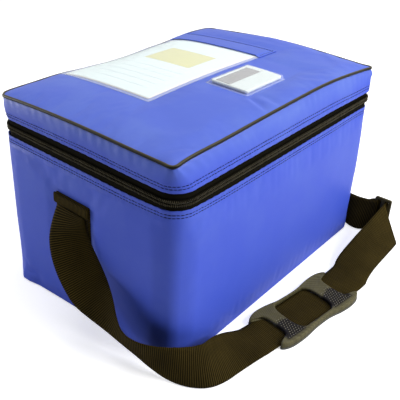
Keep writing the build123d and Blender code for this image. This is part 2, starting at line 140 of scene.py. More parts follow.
# merges a mesh's doubled points and turns its faces outwards
def fixNormals(piece):
    work = bmesh.new()
    work.from_mesh(piece.data)
    bmesh.ops.remove_doubles(work, verts=work.verts, dist=1e-6)
    bmesh.ops.recalc_face_normals(work, faces=work.faces)
    work.to_mesh(piece.data)
    work.free()
    smoothFaces(piece.data)
    piece.data.update()


# quads between rings of equal length; wrapped both ways, the skin is closed
def ringFaces(levels, count, wrapLevels=True, wrapRing=True):
    faces = []
    for level in range(levels if wrapLevels else levels - 1):
        low, high = level * count, ((level + 1) % levels) * count
        for i in range(count if wrapRing else count - 1):
            j = (i + 1) % count
            faces.append((low + i, low + j, high + j, high + i))
    return faces


def ringSkin(name, rings, material, uv=None):
    faces = ringFaces(len(rings), len(rings[0]))
    return addPiece(name, np.vstack(rings) * mm, faces, material, uv=uv)


# tube through stations; each station is one closed loop of points, and both ends are capped
def tubeSkin(name, loops, material, uv=None):
    count = len(loops[0])
    faces = ringFaces(len(loops), count, wrapLevels=False)
    faces.append(tuple(range(count))[::-1])
    faces.append(tuple((len(loops) - 1) * count + i for i in range(count)))
    return addPiece(name, np.vstack(loops) * mm, faces, material, uv=uv)


def smoothStep(value, low=0.0, high=1.0):
    t = np.clip((np.asarray(value, float) - low) / (high - low), 0, 1)
    return t * t * (3 - 2 * t)


def bell(value, centre, spread):
    return np.exp(-(((np.asarray(value, float) - centre) / spread) ** 2))


# soft waviness at points in mm: grain is the size of one wave
def softWave(points, grain, seed):
    scaled = np.asarray(points, float) / grain + seed
    return np.array([noise.noise(Vector(p)) for p in scaled])


# the same over a flat plan
def flatWave(x, y, grain, seed):
    return softWave(np.column_stack([x, y, 0 * x]), grain, seed)


# plan points at one level, or at a level for each point
def raised(plan, level):
    return np.column_stack([plan, np.broadcast_to(level, len(plan))])


# distance along a line to each of its points; a closed line's last value is its whole length
def lineRun(line, closed=False):
    steps = np.diff(line, axis=0, append=line[:1]) if closed else np.diff(line, axis=0)
    return np.concatenate([[0], np.cumsum(np.linalg.norm(steps, axis=1))])


# a line's points at other places along its run
def readLine(places, run, line):
    return np.column_stack([np.interp(places, run, column) for column in line.T])


# points in equal steps along the straight stretches between corners
def walkLine(corners, steps):
    line = []
    for start, end in zip(corners, corners[1:]):
        for share in np.linspace(0, 1, steps, endpoint=False):
            line.append([a + (b - a) * share for a, b in zip(start, end)])
    line.append(corners[-1])
    return np.array(line)


# a new node in a tree, with its settings
def addNode(tree, kind, **settings):
    made = tree.nodes.new(kind)
    for key, value in settings.items():
        setattr(made, key, value)
    return made


# a value, or another node's output, into a socket
def plug(tree, socket, value):
    if isinstance(value, Wire):
        tree.links.new(value.socket, socket)
    else:
        socket.default_value = value


# a socket that does maths: an expression on it adds its Math nodes
class Wire:
    def __init__(self, tree, socket):
        self.tree = tree
        self.socket = socket

    def maths(self, operation, first, second=None):
        made = addNode(self.tree, "ShaderNodeMath", operation=operation)
        for index, value in enumerate((first, second)):
            if value is not None:
                plug(self.tree, made.inputs[index], value)
        return Wire(self.tree, made.outputs[0])

    def __add__(self, other):
        return self.maths("ADD", self, other)

    def __radd__(self, other):
        return self.maths("ADD", other, self)

    def __sub__(self, other):
        return self.maths("SUBTRACT", self, other)

    def __rsub__(self, other):
        return self.maths("SUBTRACT", other, self)

    def __mul__(self, other):
        return self.maths("MULTIPLY", self, other)

    def __truediv__(self, other):
        return self.maths("DIVIDE", self, other)

    def __gt__(self, other):
        return self.maths("GREATER_THAN", self, other)

    def __lt__(self, other):
        return self.maths("LESS_THAN", self, other)

    def __abs__(self):
        return self.maths("ABSOLUTE", self)

    def part(self):
        return self.maths("FRACT", self)

    def root(self):
        return self.maths("SQRT", self)

    # sine with one full wave in each pitch
    def ripple(self, pitch):
        return self.maths("SINE", self * (2 * math.pi / pitch))

    # the same from 0 to 1
    def ribs(self, pitch):
        return self.ripple(pitch) * 0.5 + 0.5

    def clamped(self, low=0.0, high=1.0):
        return self.maths("MINIMUM", self.maths("MAXIMUM", self, low), high)


# a material under construction
class Finish:
    def __init__(self, name):
        self.material = bpy.data.materials.new(name)
        self.material.use_nodes = True
        self.tree = self.material.node_tree
        self.tree.nodes.clear()

    def node(self, kind, sockets=None, output=0, **settings):
        made = addNode(self.tree, kind, **settings)
        for key, value in (sockets or {}).items():
            plug(self.tree, made.inputs[key], value)
        return Wire(self.tree, made.outputs[output])

    # position on the object in mm, or the piece's own cloth map
    def place(self, flat=False):
        if flat:
            return self.node("ShaderNodeUVMap", uv_map="cloth")
        coords = self.node("ShaderNodeTexCoord", output="Object")
        return self.node("ShaderNodeMapping", {"Vector": coords, "Scale": (1 / mm,) * 3})

    def axes(self, vector):
        split = self.tree.nodes.new("ShaderNodeSeparateXYZ")
        plug(self.tree, split.inputs[0], vector)
        return [Wire(self.tree, output) for output in split.outputs]

    # noise with spots of one size; stretch makes them longer or shorter along each axis
    def noise(self, vector, size, detail, rough, stretch=None):
        if stretch:
            vector = self.node("ShaderNodeMapping", {"Vector": vector, "Scale": stretch})
        sockets = {"Vector": vector, "Scale": 1.0 / size, "Detail": detail, "Roughness": rough}
        return self.node("ShaderNodeTexNoise", sockets)

    def mix(self, amount, first, second):
        made = addNode(self.tree, "ShaderNodeMix", data_type="RGBA")
        for key, kind, value in (("Factor", "VALUE", amount), ("A", "RGBA", first), ("B", "RGBA", second)):
            plug(self.tree, next(s for s in made.inputs if s.name == key and s.type == kind), value)
        return Wire(self.tree, next(s for s in made.outputs if s.type == "RGBA"))

    # a bumpy normal: depth in mm, laid over another one if that is given
    def bump(self, height, depth, strength, under=None):
        sockets = {"Height": height, "Distance": depth * mm, "Strength": strength}
        if under is not None:
            sockets["Normal"] = under
        return self.node("ShaderNodeBump", sockets)

    def principled(self, **values):
        sockets = {key.replace("_", " "): value for key, value in values.items()}
        surface = self.node("ShaderNodeBsdfPrincipled", sockets)
        end = self.tree.nodes.new("ShaderNodeOutputMaterial")
        plug(self.tree, end.inputs["Surface"], surface)
        return self.material


def rgb(red, green, blue):
    return (red, green, blue, 1.0)


# sizes in mm: cloudy patches, rubbed spots in them, and a painted sheen that makes them paler with height and
# on the lid
shellCloth = {
    "blue": rgb(0.055, 0.099, 0.585),
    # paler blue: the colour of the rubbed spots, also used for the painted sheen
    "paintedLightAndWear": rgb(0.115, 0.182, 0.60),
    "grain": 0.55,
    "weavePitch": 1.1,
    "cloudSize": 60.0,
    "cloudFrom": 0.42,
    "cloudGain": 2.2,
    "rubSize": 9.0,
    "rubLeast": 0.35,
    "rubGain": 0.5,
    "sheenHeightGain": 0.004,
    "sheenHeightLeast": 0.25,
    "sheenLidFrom": 243.0,
    "sheenLidGain": 0.03,
    "sheenLidMost": 0.5,
    "dimple": 22.0,
    "roughness": 0.36,
    "shine": 0.2,
}


# coated cloth: fine leathery grain, a faint print of the weave under it, slightly paler rubbed patches, and a
# painted sheen that is paler towards the top and on the lid
def makeShellCloth():
    f = Finish("coatedBlueCloth")
    at = f.place()
    x, y, z = f.axes(at)
    pitch = shellCloth["weavePitch"]
    grain = f.noise(at, shellCloth["grain"], 3.0, 0.6)
    weave = x.ripple(pitch) + y.ripple(pitch) + z.ripple(pitch)
    cloudy = f.noise(at, shellCloth["cloudSize"], 4.0, 0.6)
    rubbed = shellCloth["rubLeast"] + f.noise(at, shellCloth["rubSize"], 5.0, 0.7) * shellCloth["rubGain"]
    patches = ((cloudy - shellCloth["cloudFrom"]) * shellCloth["cloudGain"]).clamped() * rubbed
    # painted sheen: the patches grow paler with height, and more on the lid
    patches = patches * (z * shellCloth["sheenHeightGain"]).clamped(shellCloth["sheenHeightLeast"])
    lidSheen = (z - shellCloth["sheenLidFrom"]) * shellCloth["sheenLidGain"]
    patches = patches + lidSheen.clamped(0.0, shellCloth["sheenLidMost"])
    normal = f.bump(weave * 0.16 + grain, 0.05, 0.5)
    return f.principled(
        Base_Color=f.mix(patches, shellCloth["blue"], shellCloth["paintedLightAndWear"]),
        Roughness=shellCloth["roughness"] + cloudy * 0.12 + grain * 0.05,
        Normal=f.bump(f.noise(at, shellCloth["dimple"], 2.0, 0.5), 0.5, 0.35, normal),
        Specular_IOR_Level=shellCloth["shine"],
    )


webbingCloth = {
    "dark": rgb(0.004, 0.003, 0.001),
    # pale colour of the painted highlight on the tops of the ribs
    "ribHighlight": rgb(0.108, 0.076, 0.018),
    "ribPitch": 2.4,
    "yarnPitch": 1.1,
    "fuzz": 0.5,
    # sizes of the broad patches of painted shade and light over the ribs
    "patchSize": 45.0,
    "patchFrom": 0.3,
    "patchGain": 2.2,
    "shine": 0.02,
}


# webbing: ribs across, fine yarns along, a painted highlight on the tops of the ribs and painted shade in
# broad patches; its cloth map is (across, along)
def makeWebbing():
    f = Finish("webbingCloth")
    across, along, _ = f.axes(f.place(flat=True))
    rib = along.ribs(webbingCloth["ribPitch"])
    yarn = across.ribs(webbingCloth["yarnPitch"])
    at = f.place()
    fuzz = f.noise(at, webbingCloth["fuzz"], 3.0, 0.7)
    patches = f.noise(at, webbingCloth["patchSize"], 2.0, 0.5)
    # painted shade: broad patches where the painted highlight on the ribs is dimmed
    paintedLightAndWear = ((patches - webbingCloth["patchFrom"]) * webbingCloth["patchGain"]).clamped()
    ribHighlight = (rib * rib * (0.6 + yarn * 0.25) + fuzz * 0.15) * (0.55 + paintedLightAndWear * 0.45)
    return f.principled(
        Base_Color=f.mix(ribHighlight.clamped(), webbingCloth["dark"], webbingCloth["ribHighlight"]),
        Roughness=0.6 + fuzz * 0.2,
        Specular_IOR_Level=webbingCloth["shine"],
        Normal=f.bump(rib * 0.8 + yarn * 0.3 + fuzz * 0.3, 0.4, 1.0),
    )


zipCloth = {
    "dark": rgb(0.003, 0.0028, 0.002),
    "pale": rgb(0.011, 0.0095, 0.005),
    "twill": 1.3,
    "twillSlant": 0.8,
    "ribPitch": 2.2,
    "fuzz": 0.6,
    "shine": 0.02,
}


# zip tape: fine twill with lengthways ribs
def makeZipTape():
    f = Finish("zipTapeCloth")
    along, up, _ = f.axes(f.place(flat=True))
    twill = (along + up * zipCloth["twillSlant"]).ribs(zipCloth["twill"])
    ribs = up.ribs(zipCloth["ribPitch"])
    fuzz = f.noise(f.place(), zipCloth["fuzz"], 3.0, 0.7)
    return f.principled(
        Base_Color=f.mix(twill * 0.6 + fuzz * 0.3, zipCloth["dark"], zipCloth["pale"]),
        Roughness=0.75 + fuzz * 0.15,
        Specular_IOR_Level=zipCloth["shine"],
        Normal=f.bump(twill * 0.5 + ribs * 0.6 + fuzz * 0.2, 0.25, 0.8),
    )


# nylon, threads and moulded plastics: dark and pale colour, roughness, grain and depth in mm, strength, shine
mouldedLooks = {
    "zipNylon": ((0.003, 0.0028, 0.002), (0.012, 0.010, 0.005), 0.42, 0.5, 0.05, 0.5, 0.03),
    # the teeth are painted far paler than the coil's nylon: a painted glint on each tooth
    "toothPaintedGlint": ((0.05, 0.043, 0.023), (0.15, 0.128, 0.075), 0.35, 0.5, 0.05, 0.5, 0.2),
    "darkThread": ((0.004, 0.005, 0.016), (0.012, 0.014, 0.04), 0.7, 0.25, 0.12, 0.9, 0.1),
    "blackThread": ((0.006, 0.005, 0.004), (0.04, 0.03, 0.016), 0.7, 0.25, 0.12, 0.9, 0.1),
    "bucklePlastic": ((0.034, 0.027, 0.008), (0.098, 0.083, 0.034), 0.4, 0.5, 0.05, 0.5, 0.07),
    "sliderPaint": ((0.012, 0.012, 0.012), (0.06, 0.055, 0.05), 0.36, 0.35, 0.04, 0.5, 0.25),
    "casePlastic": ((0.70, 0.76, 0.72), (0.76, 0.81, 0.77), 0.34, 0.6, 0.02, 0.3, 0.25),
    "screenGrey": ((0.25, 0.23, 0.21), (0.33, 0.31, 0.29), 0.2, 3.0, 0.0, 0.0, 0.2),
    "digitInk": ((0.22, 0.21, 0.16), (0.28, 0.27, 0.2), 0.3, 1.0, 0.0, 0.0, 0.25),
    "boardPlastic": ((0.2, 0.2, 0.2), (0.32, 0.32, 0.32), 0.6, 0.8, 0.1, 0.5, 0.25),
    # the raised dots are painted paler than the pad: a painted glint on each dot
    "dotPaintedGlint": ((0.10, 0.09, 0.06), (0.42, 0.385, 0.27), 0.35, 0.8, 0.05, 0.5, 0.2),
}


def makeMoulded(name, dark, pale, roughness, grain, depth, strength, shine):
    f = Finish(name)
    at = f.place()
    fine = f.noise(at, grain, 4.0, 0.6)
    broad = f.noise(at, grain * 30, 3.0, 0.6)
    scuffs = f.noise(at, grain * 6, 5.0, 0.75, stretch=(1.0, 0.3, 1.0))
    return f.principled(
        Base_Color=f.mix((broad * 0.6 + fine * 0.5 - 0.15).clamped(), rgb(*dark), rgb(*pale)),
        Roughness=roughness - 0.05 + scuffs * 0.14,
        Specular_IOR_Level=shine,
        Normal=f.bump(fine, depth, strength),
    )


pipingLook = {
    "dark": rgb(0.003, 0.003, 0.002),
    "pale": rgb(0.066, 0.056, 0.025),
    "grain": 0.4,
    "patchSize": 12.0,
    "topLightFrom": 0.4,
    "topLightGain": 2.4,
    "shine": 0.15,
}


# piping: a painted highlight on its upward faces and painted shade down its sides
def makePipingVinyl():
    f = Finish("pipingVinyl")
    at = f.place()
    fine = f.noise(at, pipingLook["grain"], 4.0, 0.6)
    broad = f.noise(at, pipingLook["patchSize"], 3.0, 0.6)
    facing = f.axes(f.node("ShaderNodeTexCoord", output="Normal"))[2]
    # painted highlight and shade: paler where the surface faces up, dark where it faces aside or down
    crown = ((facing - pipingLook["topLightFrom"]) * pipingLook["topLightGain"]).clamped()
    return f.principled(
        Base_Color=f.mix(crown * (0.55 + broad * 0.5 + fine * 0.2), pipingLook["dark"], pipingLook["pale"]),
        Roughness=0.3 + fine * 0.14,
        Specular_IOR_Level=pipingLook["shine"],
        Normal=f.bump(fine, 0.05, 0.5),
    )


# clear film: nearly invisible from straight above, and at a slant shinier and paler, a painted reflection
def makeFilm(name, tint, body, shine, wrinkle):
    f = Finish(name)
    at = f.place()
    slant = f.node("ShaderNodeLayerWeight", {"Blend": 0.25}, "Facing")
    haze = f.noise(at, 7.0, 4.0, 0.6)
    waves = f.noise(at, 28.0, 3.0, 0.5, stretch=(1.0, 2.2, 1.0))
    return f.principled(
        Base_Color=f.mix(haze, tint, rgb(0.95, 0.97, 1.0)),
        Roughness=0.08 + haze * 0.1,
        # painted reflection: the pale film grows less clear at a slant
        Alpha=(body + slant * shine + haze * 0.04).clamped(),
        Normal=f.bump(waves, wrinkle, 0.6),
        IOR=1.52,
    )


# card with plain ruled lines and one plain tinted panel; its print is laid out in mm on the object
cardPrint = {
    "paper": rgb(0.80, 0.92, 0.90),
    "rim": rgb(0.88, 0.80, 0.74),
    "panel": rgb(0.70, 0.65, 0.11),
    "panelEdge": rgb(0.50, 0.42, 0.30),
    "ink": rgb(0.38, 0.42, 0.44),
    "centre": (-1.0, 57.3),
    "half": (109.0, 77.5),
    "rimWidth": 2.2,
    "panelAt": (26.0, 52.0),
    "panelHalf": (29.0, 40.0),
    "linesAt": (-88.0, -28.0),
    "lineEnds": (3.0, 108.0),
    "linePitch": 15.0,
    "lineWidth": 1.1,
}


def makeCard():
    f = Finish("printedCard")
    at = f.place()
    x, y, _ = f.axes(at)

    def within(centre, half, grow=0.0):
        return (abs(x - centre[0]) < half[0] + grow) * (abs(y - centre[1]) < half[1] + grow)

    inside = within(cardPrint["centre"], cardPrint["half"], -cardPrint["rimWidth"])
    panel = within(cardPrint["panelAt"], cardPrint["panelHalf"])
    edge = within(cardPrint["panelAt"], cardPrint["panelHalf"], 0.8) - panel
    low, high = cardPrint["linesAt"]
    front, rear = cardPrint["lineEnds"]
    steps = ((x - low) / cardPrint["linePitch"]).part()
    ruled = (steps < cardPrint["lineWidth"] / cardPrint["linePitch"]) * (x > low - 0.5) * (x < high + 1.5)
    ruled = ruled * (y > front) * (y < rear)
    fibres = f.noise(at, 1.4, 4.0, 0.7)
    paper = f.mix(fibres * 0.12, cardPrint["paper"], rgb(1, 1, 1))
    colour = f.mix(inside, cardPrint["rim"], paper)
    colour = f.mix(ruled * 0.75, colour, cardPrint["ink"])
    colour = f.mix(panel, colour, cardPrint["panel"])
    colour = f.mix(edge * 0.8, colour, cardPrint["panelEdge"])
    return f.principled(Base_Color=colour, Roughness=0.55 + fibres * 0.1, Normal=f.bump(fibres, 0.03, 0.4))


liningLook = {
    "dark": rgb(0.62, 0.64, 0.66),
    "pale": rgb(0.8, 0.81, 0.82),
    "diamond": 7.0,
    "wrinkle": 16.0,
    "metal": 0.15,
}


# lining: pale coated film with a pressed diamond pattern
def makeLining():
    f = Finish("liningFilm")
    at = f.place()
    x, y, z = f.axes(at)
    pitch = liningLook["diamond"]
    pressed = abs((x + z).ripple(pitch)) * abs((y - z + x * 0.5).ripple(pitch))
    wrinkles = f.noise(at, liningLook["wrinkle"], 4.0, 0.6)
    return f.principled(
        Base_Color=f.mix(wrinkles, liningLook["dark"], liningLook["pale"]),
        Roughness=0.32 + wrinkles * 0.12,
        Metallic=liningLook["metal"],
        Normal=f.bump(pressed * 0.3 + wrinkles, 0.6, 0.5),
    )


# closed-cell foam: fine bubbles
def makeFoam():
    f = Finish("closedCellFoam")
    cells = f.node("ShaderNodeTexVoronoi", {"Vector": f.place(), "Scale": 0.9}, feature="F1")
    return f.principled(
        Base_Color=f.mix(cells, rgb(0.86, 0.86, 0.83), rgb(0.7, 0.7, 0.67)),
        Roughness=0.85,
        Normal=f.bump(cells, 0.2, 0.6),
    )


# in mm on the pad's own cloth map: rings of ridges about each end, and the dark patches under the dots
padPattern = {
    "ringsAt": 86.0,
    "ridgePitch": 3.4,
    "ridgeSlant": 0.35,
    "patchPeak": (48.0, 4.0),
    "patchSlope": 0.35,
    "patchFront": -30.0,
    "patchEnd": 66.0,
    "windowAt": -3.0,
    "windowHalf": 27.0,
}


# rubber of the pad: crossed ridges, darker patches and dusty edges
def makeRubber(name, dark, pale, ink, ridge):
    f = Finish(name)
    x, y, _ = f.axes(f.place(flat=True))
    at = f.place()
    fine = f.noise(at, 0.8, 4.0, 0.65)
    dust = f.noise(at, 18.0, 5.0, 0.65)
    fromEnd = padPattern["ringsAt"] - abs(x)
    reach = (fromEnd * fromEnd + y * y).root()
    slanted = y - x * padPattern["ridgeSlant"]
    lines = reach.ripple(padPattern["ridgePitch"]) * slanted.ripple(padPattern["ridgePitch"]) * 0.5 + 0.5
    peakX, peakY = padPattern["patchPeak"]
    patch = ((peakY - abs(abs(x) - peakX) * padPattern["patchSlope"] - y) * 0.25).clamped()
    patch = patch * ((y - padPattern["patchFront"]) * 0.4).clamped()
    patch = patch * ((abs(x - padPattern["windowAt"]) - padPattern["windowHalf"]) * 0.3).clamped()
    patch = patch * ((padPattern["patchEnd"] - abs(x)) * 0.25).clamped()
    shade = dust * 0.7 - 0.2 + fine * 0.2 + lines * ridge * 0.6 + (1.0 - ridge) * 0.3
    colour = f.mix(shade.clamped(), dark, pale)
    return f.principled(
        Base_Color=f.mix(patch * 0.9, colour, ink),
        Roughness=0.46 + fine * 0.16,
        Specular_IOR_Level=0.1,
        Normal=f.bump(fine * 0.6 + lines * ridge, 0.2, 0.6),
    )


blueCloth = makeShellCloth()
webbing = makeWebbing()
zipTape = makeZipTape()
moulded = {name: makeMoulded(name, *look) for name, look in mouldedLooks.items()}
pipingVinyl = makePipingVinyl()
windowFilm = makeFilm("windowFilm", tint=rgb(0.86, 0.95, 0.97), body=0.05, shine=0.5, wrinkle=0.5)
pouchFilm = makeFilm("pouchFilm", tint=rgb(0.8, 0.88, 0.98), body=0.03, shine=0.3, wrinkle=0.4)
cardPaper = makeCard()
liningFilm = makeLining()
foamCells = makeFoam()
padRubber = makeRubber(
    "padRubber",
    dark=rgb(0.046, 0.040, 0.018),
    pale=rgb(0.14, 0.125, 0.06),
    ink=rgb(0.006, 0.005, 0.006),
    ridge=1.0,
)
soleRubber = makeRubber(
    "soleRubber",
    dark=rgb(0.055, 0.055, 0.045),
    pale=rgb(0.12, 0.12, 0.105),
    ink=rgb(0.06, 0.06, 0.055),
    ridge=0.0,
)
print("finishes ready")

# the webbing's two edges from station to station, in metres: it hangs, twists, lies flat and stands on edge
strap = {
    "width": 0.05,
    "thickness": 1.8,
    "edgeShare": 0.55,
    "step": 0.875,
    "rib": 0.13,
    "columns": 12,
    "edges": [
        ((-0.2125, 0.037, 0.151), (-0.2125, -0.013, 0.151)),
        ((-0.234, 0.029, 0.13), (-0.2135, -0.015, 0.139)),
        ((-0.246, 0.015, 0.109), (-0.213, -0.021, 0.124)),
        ((-0.252, -0.001, 0.091), (-0.213, -0.031, 0.109)),
        ((-0.255, -0.018, 0.075), (-0.216, -0.044, 0.098)),
        ((-0.254, -0.033, 0.058), (-0.222, -0.06, 0.089)),
        ((-0.247, -0.051, 0.045), (-0.231, -0.077, 0.081)),
        ((-0.239, -0.07, 0.032), (-0.241, -0.092, 0.071)),
        ((-0.234, -0.09, 0.021), (-0.247, -0.106, 0.059)),
        ((-0.23, -0.11, 0.013), (-0.245, -0.124, 0.055)),
        ((-0.228, -0.133, 0.006), (-0.236, -0.144, 0.054)),
        ((-0.225, -0.157, 0.002), (-0.222, -0.159, 0.052)),
        ((-0.217, -0.18, 0.0012), (-0.205, -0.17, 0.048)),
        ((-0.202, -0.199, 0.0012), (-0.187, -0.176, 0.043)),
        ((-0.182, -0.207, 0.0012), (-0.1685, -0.171, 0.036)),
        ((-0.16, -0.21, 0.0015), (-0.15, -0.1675, 0.026)),
        ((-0.141, -0.2135, 0.0025), (-0.1315, -0.1665, 0.016)),
        ((-0.1252, -0.217, 0.0038), (-0.1177, -0.1685, 0.009)),
        ((-0.1106, -0.2207, 0.0043), (-0.1036, -0.1712, 0.0043)),
        ((0.0774, -0.2467, 0.0043), (0.0820, -0.1948, 0.0045)),
        ((0.094, -0.2415, 0.0035), (0.0985, -0.1890, 0.0092)),
        ((0.117, -0.238, 0.0025), (0.1215, -0.1892, 0.0175)),
        ((0.143, -0.236, 0.0015), (0.146, -0.1915, 0.0275)),
        ((0.174, -0.235, 0.0012), (0.178, -0.194, 0.037)),
        ((0.207, -0.2335, 0.0012), (0.216, -0.1985, 0.053)),
        ((0.2085, -0.2325, 0.0012), (0.2165, -0.199, 0.0535)),
        ((0.2135, -0.222, 0.0025), (0.2188, -0.1995, 0.0548)),
        ((0.2180, -0.208, 0.0048), (0.2196, -0.2000, 0.0554)),
        ((0.2200, -0.2018, 0.0054), (0.2205, -0.2018, 0.0554)),
        ((0.2245, -0.2018, 0.0054), (0.2245, -0.2018, 0.0554)),
        ((0.2280, -0.1985, 0.0054), (0.2280, -0.1985, 0.0554)),
        ((0.2285, -0.190, 0.0040), (0.2280, -0.190, 0.0540)),
        ((0.2330, -0.181, 0.0012), (0.2278, -0.181, 0.0505)),
        ((0.2355, -0.174, 0.0012), (0.2272, -0.174, 0.0480)),
    ],
    "shortEdges": [
        ((0.2119, 0.037, 0.163), (0.2119, -0.013, 0.163)),
        ((0.2125, 0.037, 0.151), (0.2125, -0.013, 0.151)),
        ((0.222, 0.030, 0.125), (0.222, -0.018, 0.141)),
        ((0.225, 0.016, 0.099), (0.225, -0.026, 0.126)),
        ((0.225, -0.001, 0.078), (0.224, -0.038, 0.111)),
        ((0.224, -0.020, 0.059), (0.222, -0.053, 0.097)),
        ((0.223, -0.040, 0.043), (0.220, -0.069, 0.084)),
        ((0.221, -0.062, 0.029), (0.218, -0.086, 0.073)),
        ((0.2195, -0.086, 0.015), (0.2175, -0.104, 0.062)),
        ((0.2185, -0.114, 0.005), (0.2175, -0.121, 0.055)),
        ((0.2125, -0.139, 0.0015), (0.2185, -0.139, 0.0505)),
        ((0.2035, -0.157, 0.0012), (0.2195, -0.157, 0.0492)),
        ((0.2045, -0.171, 0.0012), (0.2205, -0.17, 0.0502)),
        ((0.2145, -0.1815, 0.003), (0.2195, -0.181, 0.0525)),
        ((0.2191, -0.1885, 0.0054), (0.2191, -0.1885, 0.0554)),
        ((0.2249, -0.1885, 0.0054), (0.2249, -0.1885, 0.0554)),
        ((0.2215, -0.1795, 0.003), (0.2249, -0.178, 0.053)),
        ((0.2075, -0.17, 0.0014), (0.2228, -0.1685, 0.0468)),
        ((0.2057, -0.157, 0.0014), (0.2216, -0.157, 0.0462)),
    ],
}


# smooth line through control points, read back from a NURBS curve
def smoothLine(points):
    curve = bpy.data.curves.new("route", "CURVE")
    curve.dimensions = "3D"
    spline = curve.splines.new("NURBS")
    spline.points.add(len(points) - 1)
    for point, place in zip(spline.points, points):
        point.co = (*place, 1.0)
    spline.order_u = 3
    spline.use_endpoint_u = True
    spline.resolution_u = 24
    holder = putInScene("route", curve)
    bpy.context.view_layer.update()
    mesh = bpy.data.meshes.new_from_object(holder)
    line = np.array([v.co[:] for v in mesh.vertices])
    bpy.data.objects.remove(holder)
    bpy.data.meshes.remove(mesh)
    return line


# flat webbing between its two edge lines, with a rib at every other station
def ribbonPiece(name, edges, material):
    outer = smoothLine([pair[0] for pair in edges]) / mm
    inner = smoothLine([pair[1] for pair in edges]) / mm
    middle = (outer + inner) / 2
    run = lineRun(middle)
    stations = np.linspace(0, run[-1], int(run[-1] / strap["step"]))
    low = readLine(stations, run, outer)
    high = readLine(stations, run, inner)
    centre = (low + high) / 2
    ahead = np.gradient(centre, axis=0)
    across = high - low
    face = np.cross(across, ahead)
    face /= np.linalg.norm(face, axis=1)[:, None]
    columns = strap["columns"]
    shares = np.linspace(0, 1, columns + 1)
    loops, uv = [], []
    for i, place in enumerate(stations):
        half = strap["thickness"] / 2 + (strap["rib"] if i % 2 else 0)
        loop = []
        for side, order in ((1, shares), (-1, shares[::-1])):
            for share in order:
                atEdge = min(share, 1 - share) * columns < 0.5
                thick = half * (strap["edgeShare"] if atEdge else 1.0)
                loop.append(low[i] + across[i] * share + face[i] * thick * side)
                uv.append((share * strap["width"] / mm, place))
        loops.append(np.array(loop))
    piece = tubeSkin(name, loops, material, uv=uv)
    return piece, centre * mm, run[-1] * mm


strapPiece, strapLine, strapLength = ribbonPiece("shoulderStrap", strap["edges"], webbing)
shortPiece, shortLine, shortLength = ribbonPiece("adjusterStrap", strap["shortEdges"], webbing)
print("straps", round(strapLength, 3), "and", round(shortLength, 3), "m")

# sizes of the bag and the lid in mm, the outer ones from the frame
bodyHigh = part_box("body_panel")[1] / mm
lidLow, lidHigh = (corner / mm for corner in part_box("lid_band"))
flare = 9.0
bag = {
    "flare": flare,
    "corner": 25.0,
    "halfX": bodyHigh.x - flare,
    "halfY": bodyHigh.y,
    "rim": bodyHigh.z,
    "cells": (120, 84, 10),
}
lid = {
    "halfX": lidHigh.x,
    "halfY": lidHigh.y,
    "corner": 26.0,
    "low": lidLow.z,
    "topHalfX": lidHigh.x - 2.5,
    "topHalfY": lidHigh.y - 7.3,
    "shiftY": 1.0,
    "topCorner": 9.0,
    "crownTop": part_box("lid_top")[1].z / mm,
    "crownRadius": 2370.0,
}


# points and outward directions round a rounded rectangle, with the same count at every size
def planRing(halfX, halfY, corner):
    alongX, alongY, turn = bag["cells"]
    straight = ((1, 0), (0, 1), (-1, 0), (0, -1))
    points, outs = [], []
    for side, (outX, outY) in enumerate(straight):
        count = alongY if outX else alongX
        reach = (halfY if outX else halfX) - corner
        for i in range(count):
            slide = reach * (2 * i / count - 1)
            points.append((outX * halfX - outY * slide, outY * halfY + outX * slide))
            outs.append((outX, outY))
        centreX = (halfX - corner) * (1 if side in (0, 3) else -1)
        centreY = (halfY - corner) * (1 if side in (0, 1) else -1)
        for i in range(turn):
            angle = math.pi / 2 * (side + i / turn)
            outs.append((math.cos(angle), math.sin(angle)))
            points.append((centreX + corner * outs[-1][0], centreY + corner * outs[-1][1]))
    return np.array(points), np.array(outs)


def crownHeight(x, y):
    radius = lid["crownRadius"]
    return lid["crownTop"] - radius + np.sqrt(radius**2 - np.asarray(x) ** 2 - np.asarray(y) ** 2)


# ring of 3D points from a plan ring, pushed outwards
def ringAt(plan, outs, push, height):
    return raised(plan + outs * np.asarray(push, float).reshape(-1, 1), height)


# distance round the rim at each point of a plan ring, where puckers and folds take their phase
rimPlan = {"halfX": 205.0, "halfY": 152.5, "corner": 25.0}
ringRun = lineRun(planRing(**rimPlan)[0], closed=True)[:-1]

clothForm = {"pressure": 4.0, "mass": 0.001, "stiffness": 15.0, "bending": 0.5, "quality": 5, "frames": 20}


# simulates one sewn panel, a grid of cloth cells: it is held at its seams, cut a little large and pressed
# from inside.
def settleCloth(points, wide, closed, held, extra, cap):
    start = np.asarray(points, float) * mm
    faces = ringFaces(len(start) // wide, wide, wrapLevels=False, wrapRing=closed)
    panel = addPiece("clothPanel", start, faces)
    panel.vertex_groups.new(name="held").add([int(i) for i in np.flatnonzero(held)], 1.0, "REPLACE")
    cloth = panel.modifiers.new("cloth", "CLOTH")
    settings = cloth.settings
    settings.vertex_group_mass = "held"
    settings.quality = clothForm["quality"]
    settings.mass = clothForm["mass"]
    settings.tension_stiffness = settings.compression_stiffness = clothForm["stiffness"]
    settings.bending_stiffness = clothForm["bending"]
    settings.use_pressure = True
    settings.uniform_pressure_force = clothForm["pressure"]
    settings.shrink_min = -extra
    settings.effector_weights.gravity = 0
    cloth.collision_settings.use_collision = False
    cloth.point_cache.frame_start = 1
    cloth.point_cache.frame_end = clothForm["frames"]
    scene = bpy.context.scene
    for step in range(1, clothForm["frames"] + 1):
        scene.frame_set(step)
    settled = appliedMesh(panel)
    moved = (np.array([v.co[:] for v in settled.vertices]) - start) / mm
    bpy.data.objects.remove(panel)
    bpy.data.meshes.remove(settled)
    scene.frame_set(1)
    length = np.linalg.norm(moved, axis=1)[:, None]
    return moved * np.minimum(1.0, cap / np.maximum(length, 1e-6))


